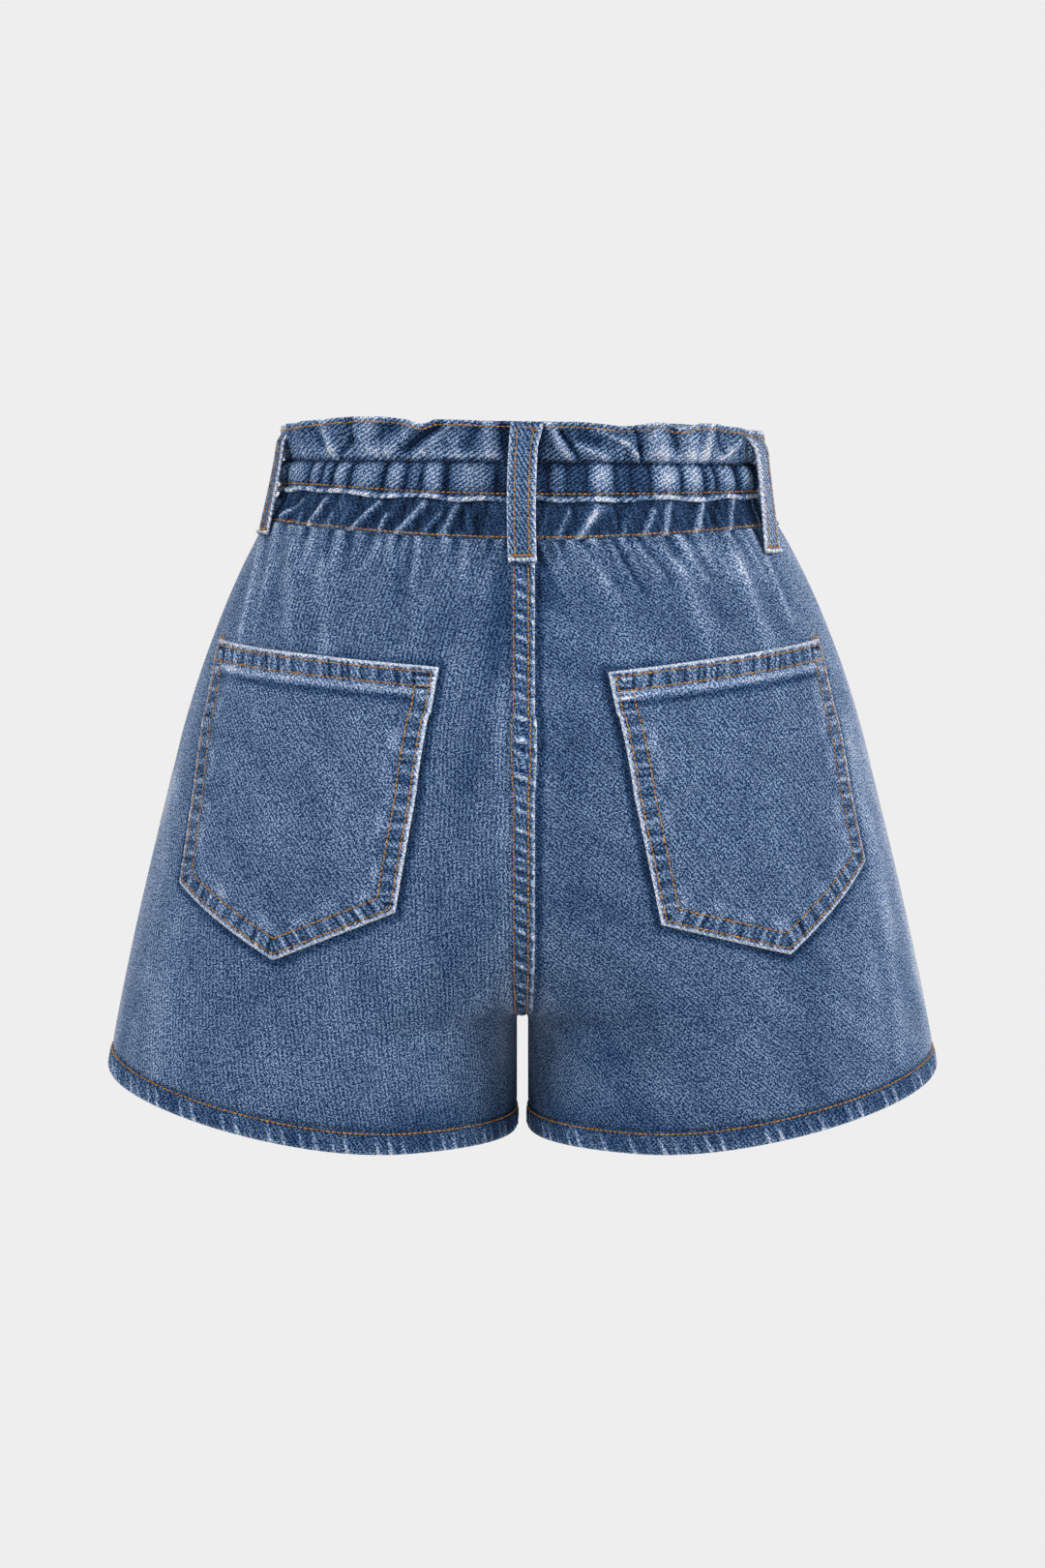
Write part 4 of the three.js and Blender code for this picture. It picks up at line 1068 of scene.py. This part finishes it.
def casing_relief(along, height):
    """How far the casing's puffs stand out, and how worn they are."""
    share, deep = between(creases, along, height)
    puff = np.abs(np.sin(math.pi * share)) ** 0.6
    stitch = CASING_STITCH + casing_rise(apart(along))
    span = np.clip((height - stitch) / (GATHER_SEAM - stitch), 0, 1)
    arch = np.sin(math.pi * span)
    free = 0.4 + 0.6 * arch**0.6
    rise, pale = puffs(along, height)
    relief = 1.2 + 1.6 * arch**0.8 + 1.3 * free * deep * (puff - 0.6) + 0.9 * rise * arch
    fine = np.sin(along / 0.66 + 2.2 * np.sin(along / 13.0)) + np.sin(along / 1.2 + 1.0)
    at_rows = near(height, GATHER_SEAM, 3.0) + near(height, stitch, 2.5)
    relief += 0.2 * fine * at_rows - 0.5 * near(height, stitch, 0.9)
    # the free lip below the stitches, thick and worn nearly white
    edge = casing_edge_at(apart(along))
    lip = smooth((edge + 3.2 - height) / 1.4)
    relief += 1.5 * lip * near(height, edge + 1.3, 1.8)
    # painted shade in the creases between the puffs
    wear_and_shade = 0.19 + 1.05 * pale * (0.4 + 0.6 * arch**0.5) - 0.2 * (1 - puff)
    wear_and_shade += 0.04 * fine * at_rows
    wear_and_shade = wear_and_shade * (1 - lip) + lip * (0.56 + 0.8 * pale + 0.1 * fine)
    # painted shade along the stitches' groove and in the gather seam's valley
    wear_and_shade -= 0.1 * near(height, stitch, 0.9) + 0.22 * near(height, GATHER_SEAM, 2.0)
    return relief, wear_and_shade


def frill_relief(along, height):
    """How far the frill's waves and folds stand out, and how worn they are."""
    top = frill_top_at(along)
    high = np.clip((height - GATHER_SEAM) / (FRILL_TOP - GATHER_SEAM), 0, 1.2)
    share, crest = between(waves, along, height - GATHER_SEAM)
    relief = 0.4 + 3.2 * np.sin(np.minimum(high, 1) * math.pi / 2)
    relief += crest * 0.5 * np.cos(2 * math.pi * share) * smooth(high * 1.6)
    # at the sides the loops hold the frill in
    relief -= 3.6 * smooth(high) * near(np.abs(apart(along)), WAIST_SIDE, 24.0)
    pinch, _ = between(creases, along, 0.0)
    relief += 1.3 * (np.abs(np.sin(math.pi * pinch)) - 0.6) * (1 - smooth(high * 1.8))
    fine = np.sin(along / 0.7 + 2.0 * np.sin(along / 12.0)) + np.sin(along / 1.3 + 0.4)
    relief += 0.25 * fine * (1 - smooth(high * 3.0))
    folds, pale = waist_streaks(FRILL_STREAKS, along, height)
    relief += 1.25 * folds * smooth(high * 4)
    relief -= 0.25 * near(height, top - FRILL_STITCH, 0.9)
    # the folds' paleness, with its painted light and shade, and the top edge worn pale
    wear_and_shade = 0.35 + 1.3 * pale + 0.4 * near(height, top, 1.2) + 0.03 * fine
    wear_and_shade += 0.13 * near(height, GATHER_SEAM + 4.0, 3.5)
    place = apart(along)
    wear_and_shade += 0.08 * smooth((place - 50) / 30) + 0.06 * smooth((place + 90) / -30)
    wear_and_shade -= 0.1 * smooth((top - 3.2 - height) / 1.0) * smooth((height - top + 6) / 2.0)
    return relief, wear_and_shade


def waist_relief(along, height):
    """Relief and wear of the whole waistband."""
    casing, casing_wear_and_shade = casing_relief(along, height)
    frill, frill_wear_and_shade = frill_relief(along, height)
    blend = smooth((height - GATHER_SEAM + 1.0) / 2.0)
    # the gather seam is a valley, darkened with painted shade
    seam = near(height, GATHER_SEAM, 1.1)
    relief = casing + (frill - casing) * blend - 1.3 * seam
    return relief, casing_wear_and_shade + (frill_wear_and_shade - casing_wear_and_shade) * blend - 0.2 * seam


WAIST_COLUMNS = 830
run = np.arange(WAIST_COLUMNS + 1) * WAIST_ROUND / WAIST_COLUMNS
top = frill_top_at(run)
edge = casing_edge_at(apart(run))
frill_steps = np.linspace(1, 0, 28)[:, None]
casing_steps = np.linspace(0, 1, 32)[1:, None]
height = np.vstack([GATHER_SEAM + (top - GATHER_SEAM) * frill_steps,
                    GATHER_SEAM + (edge - GATHER_SEAM) * casing_steps])
along = np.broadcast_to(run, height.shape)
relief, wear_and_shade = waist_relief(along, height)
waistband = cloth_piece(
    "waistband_cloth",
    ring_cloth(along, height, relief),
    ring_cloth(along, height, relief - DOUBLED_CLOTH),
    grain_of(along, height, -35),
    wear_and_shade,
    crisp_denim,
    ring=True,
)
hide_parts("waistband")


# Belt loops
# Narrow strips of denim, folded in three and sewn with two rows, then tacked down at the frill's
# top and below the band with their ends turned under. Their edges are worn pale.

LOOP_WIDTH = 14.5
# name, half, distance along the cloth at the top and low end, height of the low end, bow, how
# far it sways, how far the edge nearer the centre back curls away, wear
BELT_LOOPS = (
    ("belt_loop_back", 1, 0.0, 0.0, -43.5, 4.5, 4.6, 0.0, 0.49),
    ("belt_loop_left", -1, 148.0, 160.0, -31.0, -1.5, 0.0, 0.0, 0.5),
    ("belt_loop_right", 1, 138.0, 144.0, -38.5, -1.0, 0.0, 3.2, 0.74),
    ("belt_loop_front_left", -1, 284.0, 321.0, -38.0, 4.5, 0.0, 0.0, 0.5),
    ("belt_loop_front_right", 1, 284.0, 321.0, -38.0, 4.5, 0.0, 0.0, 0.5),
)
LOOP_LENGTH = 72.0
LOOP_CLOTH = 1.9
LOOP_STITCH = 3.65
# How far a loop lies above what it is sewn to
ON_TOP = 0.6


def signed_cloth(half, along, height, out, folded):
    """Points on one half's cloth, or on the other half's where the distance is negative."""
    lift = fold_at(half, np.abs(along), height) if folded else 0.0
    here = cloth(half, np.abs(along), height, out + lift)
    there = cloth(-half, np.abs(along), height, out + lift)
    return np.where((along < 0)[..., None], there, here)


def loop_points(loop, share, across, out):
    """Points of a belt loop's strip, by the share of the way down and the place across it."""
    _, half, top_along, low_along, low_height, bow, sway, curl, _ = loop
    bow = bow + curl * (0.5 - across / LOOP_WIDTH)
    # a swaying loop leans right at its flared top and left halfway down
    flare = 0.3 * np.maximum(across, 0) * smooth(1 - share / 0.2)
    across = across + sway * ((share - 0.28) * (share - 1) + 0.2 * flare)
    at_top = top_along + across
    ratio = WAIST_WHOLE / float(whole_at(FRILL_TOP))
    top_height = float(frill_top_at(np.array(top_along * half * ratio))) - 0.8
    heights = np.full(np.shape(across), top_height)
    frill, _ = frill_relief(at_top * half * ratio, heights)
    frill = np.maximum(frill, 1.5)
    # the back loop lies on the centre seam's fold
    under = ON_TOP + 1.4 if top_along == 0 else 0.0
    # the top end is folded over the frill, which rounds its shoulder
    reach, depth = (0.06, 3.0) if top_along == 0 else (0.17, 6.5)
    shoulder = depth * np.maximum(0, 1 - share / reach) ** 2
    bowed = bow * np.sin(math.pi * share**0.6) + out - shoulder
    upper = signed_cloth(half, at_top, heights, frill + ON_TOP + bowed, False)
    low_heights = np.full(np.shape(across), low_height)
    lower = signed_cloth(half, low_along + across, low_heights, under + ON_TOP + bowed, True)
    return upper + (lower - upper) * share[..., None]


for loop in BELT_LOOPS:
    name, half = loop[:2]
    wear = loop[-1]
    steps = uneven((0, 0.06, 0.92, 1), (6, 59, 13))
    share, w = np.meshgrid(steps, np.linspace(-1, 1, 19), indexing="ij")
    across = w * LOOP_WIDTH / 2
    away = np.abs(across)
    run = share * LOOP_LENGTH
    pucker = np.sin(run * 2 * math.pi / 3.3 + 0.8 * np.sin(run / 9)) * near(away, 5.4, 1.6)
    at_row = near(away, LOOP_STITCH, 0.75)
    crown = LOOP_CLOTH - 0.55 * smooth((np.abs(w) - 0.84) / 0.16) - 0.35 * at_row
    roll = near(share, 0.985, 0.018) * 1.5 + near(share, 0.01, 0.02) * 0.8
    tack = near(share, 0.955, 0.012) * 0.9
    outer = loop_points(loop, share, across, crown + 0.12 * pucker + roll - tack)
    inner = loop_points(loop, share, across, 0.25 * smooth((np.abs(w) - 0.8) / 0.2))
    wear_and_shade = wear + 0.4 * near(np.abs(w), 1.0, 0.13) + 0.1 * pucker + 0.5 * near(share, 0.985, 0.02)
    # the rows' grooves are darkened with painted shade
    wear_and_shade += 0.16 * near(w * half, 0.9, 0.2) - 0.12 * at_row
    wear_and_shade -= 0.12 * near(away, 0.0, 2.4)
    grids = facing_out(half, outer, inner, grain_of(across * half, -run, 60), wear_and_shade)
    piece = cloth_piece(name + "_cloth", *grids, crisp_denim)
    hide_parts(name)


# Topstitching
# Seams, pockets, hems and loops are sewn with thick orange thread, about 3.5 stitches a
# centimetre. Each stitch lies proud of the cloth and dives into it at both ends.

STITCH_PITCH = 2.9
STITCH_LENGTH = 2.5
THREAD_WIDTH = 0.8


def topstitch_thread():
    """Twisted polyester and cotton thread, dyed orange and a little faded by the wash: a soft
    satin gloss, darker where it dives into the cloth."""
    material = bpy.data.materials.new("orange_topstitch_thread")
    tree = bare_tree(material)
    place = add_node(tree, "ShaderNodeTexCoord", {}).outputs["Object"]
    tone = add_node(
        tree, "ShaderNodeTexNoise", {"Vector": place, "Scale": 260.0, "Detail": 2.0})
    ramp = add_node(tree, "ShaderNodeValToRGB", {"Fac": tone.outputs["Fac"]})
    ramp.color_ramp.elements[0].position = 0.35
    ramp.color_ramp.elements[0].color = linear("#835313")
    ramp.color_ramp.elements[1].position = 0.68
    ramp.color_ramp.elements[1].color = linear("#bf882b")
    surface = add_node(
        tree, "ShaderNodeBsdfPrincipled",
        {"Base Color": ramp.outputs["Color"], "Roughness": 0.6, "Specular IOR Level": 0.3})
    add_node(tree, "ShaderNodeOutputMaterial", {"Surface": surface.outputs[0]})
    return material


thread = topstitch_thread()


def stitches_along(path, raised):
    """Stitches along a path of points, each a small spindle that bows out of the cloth. raised
    is the same path a millimetre further out, which gives the way out."""
    way = raised - path
    way /= np.linalg.norm(way, axis=1, keepdims=True)
    run = np.concatenate([[0], np.cumsum(np.linalg.norm(np.diff(path, axis=0), axis=1))])
    count = int((run[-1] - 0.4) // STITCH_PITCH)
    if count < 1:
        return np.zeros((0, 3)), np.zeros((0, 4), int)
    pitch = run[-1] / count
    centre = (np.arange(count) + 0.5) * pitch

    def read(table, at):
        return np.stack([np.interp(at, run, table[:, k]) for k in range(3)], -1)

    length = STITCH_LENGTH * pitch / STITCH_PITCH
    stops = np.array([-0.5, -0.3, 0.0, 0.3, 0.5])
    girth = np.array([0.25, 0.9, 1.0, 0.9, 0.25])
    lift = np.array([-0.32, 0.06, 0.22, 0.06, -0.32])
    sides = 6
    angle = np.arange(sides) * 2 * math.pi / sides
    rings = []
    for stop, wide, high in zip(stops, girth, lift):
        at = centre + stop * length
        spot = read(path, at)
        out = read(way, at)
        ahead = read(path, at + 0.3) - read(path, at - 0.3)
        ahead /= np.maximum(np.linalg.norm(ahead, axis=1, keepdims=True), 1e-9)
        beside = np.cross(ahead, out)
        radius = THREAD_WIDTH / 2 * wide
        up = (high + radius * 0.85 * np.cos(angle))[:, None]
        aside = (radius * np.sin(angle))[:, None]
        rings.append(spot[:, None] + out[:, None] * up + beside[:, None] * aside)
    points = np.stack(rings, 1).reshape(-1, 3)
    ring, k = np.indices((len(stops) - 1, sides)).reshape(2, -1) * np.array([[sides], [1]])
    beyond = ring + (k + 1) % sides
    wall = np.stack([ring + k, beyond, beyond + sides, ring + k + sides], -1)
    tail = (len(stops) - 1) * sides
    caps = np.array([(3, 2, 1, 0), (5, 4, 3, 0), (tail, tail + 1, tail + 2, tail + 3),
                     (tail, tail + 3, tail + 4, tail + 5)])
    first = np.arange(count) * len(stops) * sides
    return points, (first[:, None, None] + np.vstack([wall, caps])).reshape(-1, 4)


def sew(name, rows):
    """One object that holds every stitch of a group of rows. Each row is its path and raised."""
    points = []
    faces = []
    count = 0
    for path, raised in rows:
        more_points, more_faces = stitches_along(path, raised)
        points.append(more_points)
        faces.append(more_faces + count)
        count += len(more_points)
    piece = add_piece(quad_mesh(name, np.vstack(points), np.vstack(faces)), thread)


def both(place, proud=0.15):
    """A path at its height above the cloth, and the same path a millimetre further out."""
    return place(proud), place(proud + 1)


rows = []
height = np.linspace(-45.0, SEAM_END + 1, 700)
for across in SEAM_ROWS:
    half = math.copysign(1, across)
    relief, _ = seam_relief(across + 0 * height, height)
    lifted = relief + SEAM_LIFT
    rows.append(both(lambda out: panel_cloth(half, abs(across), height, lifted + out)))
sew("back_seam_stitches", rows)

for side, half in SIDES:
    corners = [np.array(POCKETS[side][name], float) for name in POCKET_EDGES]
    rows = []
    for inset in POCKET_ROWS:
        moved = []
        for k in range(5):
            before = corners[k] - corners[k - 1]
            after = corners[(k + 1) % 5] - corners[k]
            before /= np.hypot(*before)
            after /= np.hypot(*after)
            way_in = np.array([after[1] + before[1], -after[0] - before[0]])
            depth = inset / (0.5 * np.hypot(*way_in))
            moved.append(corners[k] + way_in / np.hypot(*way_in) * depth)
        for k in range(5):
            start = moved[k]
            end = moved[(k + 1) % 5]
            if k == 0:
                # the top hem's rows run on to the outermost rows at the sides
                past = (end - start) / np.hypot(*(end - start)) * (inset - POCKET_ROWS[0])
                start = start - past
                end = end + past
            along, height = np.linspace(start, end, 300).T
            relief, _ = pocket_relief(POCKETS[side], along, height)
            lifted = relief + POCKET_LIFT
            rows.append(both(lambda out: panel_cloth(half, along, height, lifted + out)))
    # tails of thread left standing at the outer top corner
    for lean in (-2.2, 0.6):
        start = corners[1] + np.array([-3.5 + lean, -2.0])
        along, height = np.linspace(start, start + np.array([0.5 * lean, 4.5]), 20).T
        rows.append(both(lambda out: panel_cloth(half, along, height, 1.7 + out)))
    sew(f"back_pocket_{side}_stitches", rows)

    run = np.linspace(0, float(whole_at(HEM_MIDDLE)), 1400)
    above = np.full_like(run, HEM_STITCH)
    relief, _ = hem_relief(half, run, above)
    along, height = hem_place(run, above)
    sew(f"hem_{side}_stitches", [both(lambda out: cloth(half, along, height, relief + out))])

run = np.linspace(0, WAIST_ROUND, 2800)
rows = []
for height in (frill_top_at(run) - FRILL_STITCH, np.full_like(run, GATHER_SEAM),
               CASING_STITCH + casing_rise(apart(run))):
    relief, _ = waist_relief(run, height)
    proud = -0.42 if height[0] == GATHER_SEAM else 0.15
    rows.append(both(lambda out: ring_cloth(run, height, relief + out), proud))
sew("waistband_stitches", rows)

height = band_seam_at(np.abs(apart(run)) / WAIST_WHOLE) + 1.3
relief, _ = band_relief(run, height)
sew("under_band_stitches", [both(lambda out: ring_cloth(run, height, relief + out))])

# Rows on a belt loop, from one place across it and share of its length to another
LOOP_ROWS = (
    ((-LOOP_STITCH, 0.02), (-LOOP_STITCH, 0.965)), ((LOOP_STITCH, 0.02), (LOOP_STITCH, 0.965)),
)
LOW_TACK = ((-6.4, 0.956), (6.0, 0.95))
TOP_TACK = ((-1.5, 0.02), (6.6, 0.07))


def bar_tack(tack):
    """Two rows whose stitches lie over each other's ends, as one bar."""
    start, end = np.array(tack)
    inward = 0.12 * (end - start)
    return (start, end), (start + inward, end - inward)


for loop in BELT_LOOPS:
    lines = [*LOOP_ROWS, *bar_tack(LOW_TACK)]
    if loop[0] == "belt_loop_back":
        lines.extend(bar_tack(TOP_TACK))
    rows = []
    for start, end in lines:
        across, share = np.linspace(start, end, 300).T
        rows.append(both(lambda out: loop_points(loop, share, across, LOOP_CLOTH - 0.3 + out)))
    sew(loop[0] + "_stitches", rows)


# Studio
# A plain pale floor and backdrop that glow evenly, as a white cyclorama does. Equal softboxes
# stand to the left and right of the camera, with a faint one low in front and one behind.

STUDIO_GREY = linear("#eeeeee")
# The studio's bounce is dimmer than the backdrop looks, so that the folds keep their shade.
BOUNCE = 0.46


def studio_glow(tree, kind, output):
    """A glow that shows at full strength and lights the shorts at the strength of the bounce."""
    seen = add_node(tree, "ShaderNodeLightPath", {}).outputs["Is Camera Ray"]
    strength = add_node(
        tree, "ShaderNodeMapRange", {"Value": seen, "To Min": BOUNCE, "To Max": 1.0})
    glow = add_node(
        tree, kind, {"Color": STUDIO_GREY, "Strength": strength.outputs["Result"]})
    add_node(tree, output, {"Surface": glow.outputs[0]})


world = bpy.data.worlds.new("studio")
studio_glow(bare_tree(world), "ShaderNodeBackground", "ShaderNodeOutputWorld")
bpy.context.scene.world = world
bpy.context.scene.view_settings.view_transform = "Standard"

FLOOR_REACH = 30.0
FLOOR_HEIGHT = -0.75
floor_mesh = bpy.data.meshes.new("floor")
corners = [(x * FLOOR_REACH, y * FLOOR_REACH, FLOOR_HEIGHT)
           for x, y in ((-1, -1), (1, -1), (1, 1), (-1, 1))]
floor_mesh.from_pydata(corners, [], [(0, 1, 2, 3)])
floor = bpy.data.objects.new("floor", floor_mesh)
bpy.context.scene.collection.objects.link(floor)
paint = bpy.data.materials.new("matt_white_studio_floor")
studio_glow(bare_tree(paint), "ShaderNodeEmission", "ShaderNodeOutputMaterial")
floor_mesh.materials.append(paint)

# name, place in metres, size, power
LIGHTS = (
    ("key_softbox", (-2.1, -1.4, 1.2), 0.9, 56.0),
    ("fill_softbox", (2.3, -0.9, 0.7), 0.9, 56.0),
    ("low_softbox", (0.0, -1.8, -0.5), 0.8, 17.0),
    ("back_softbox", (0.4, 2.4, 1.6), 1.6, 60.0),
)
LIT_PLACE = Vector((0, 0, -0.15))
for name, place, size, power in LIGHTS:
    light = bpy.data.lights.new(name, "AREA")
    light.shape = "DISK"
    light.size = size
    light.energy = power
    lamp = bpy.data.objects.new(name, light)
    lamp.location = place
    lamp.rotation_euler = (LIT_PLACE - lamp.location).to_track_quat("-Z", "Y").to_euler()
    bpy.context.scene.collection.objects.link(lamp)

# The photograph is 1620 pixels high. A millimetre at the waist is 1.92 of them, and the waist
# lies 315 of them above the photograph's middle.
CAMERA_DISTANCE = 2.0
FRAME_PIXELS = 1620
PIXELS_PER_MM = 1.92
WAIST_ABOVE_MIDDLE = 315
focal_pixels = PIXELS_PER_MM * 1000 * CAMERA_DISTANCE
camera_data = bpy.data.cameras.new("camera")
camera_data.sensor_width = 36.0
camera_data.lens = focal_pixels / FRAME_PIXELS * camera_data.sensor_width
camera_data.clip_end = 100
camera = bpy.data.objects.new("camera", camera_data)
camera.location = (0, -CAMERA_DISTANCE, 0)
camera.rotation_euler = (math.pi / 2 - math.atan(WAIST_ABOVE_MIDDLE / focal_pixels), 0, 0)
bpy.context.scene.collection.objects.link(camera)
bpy.context.scene.camera = camera
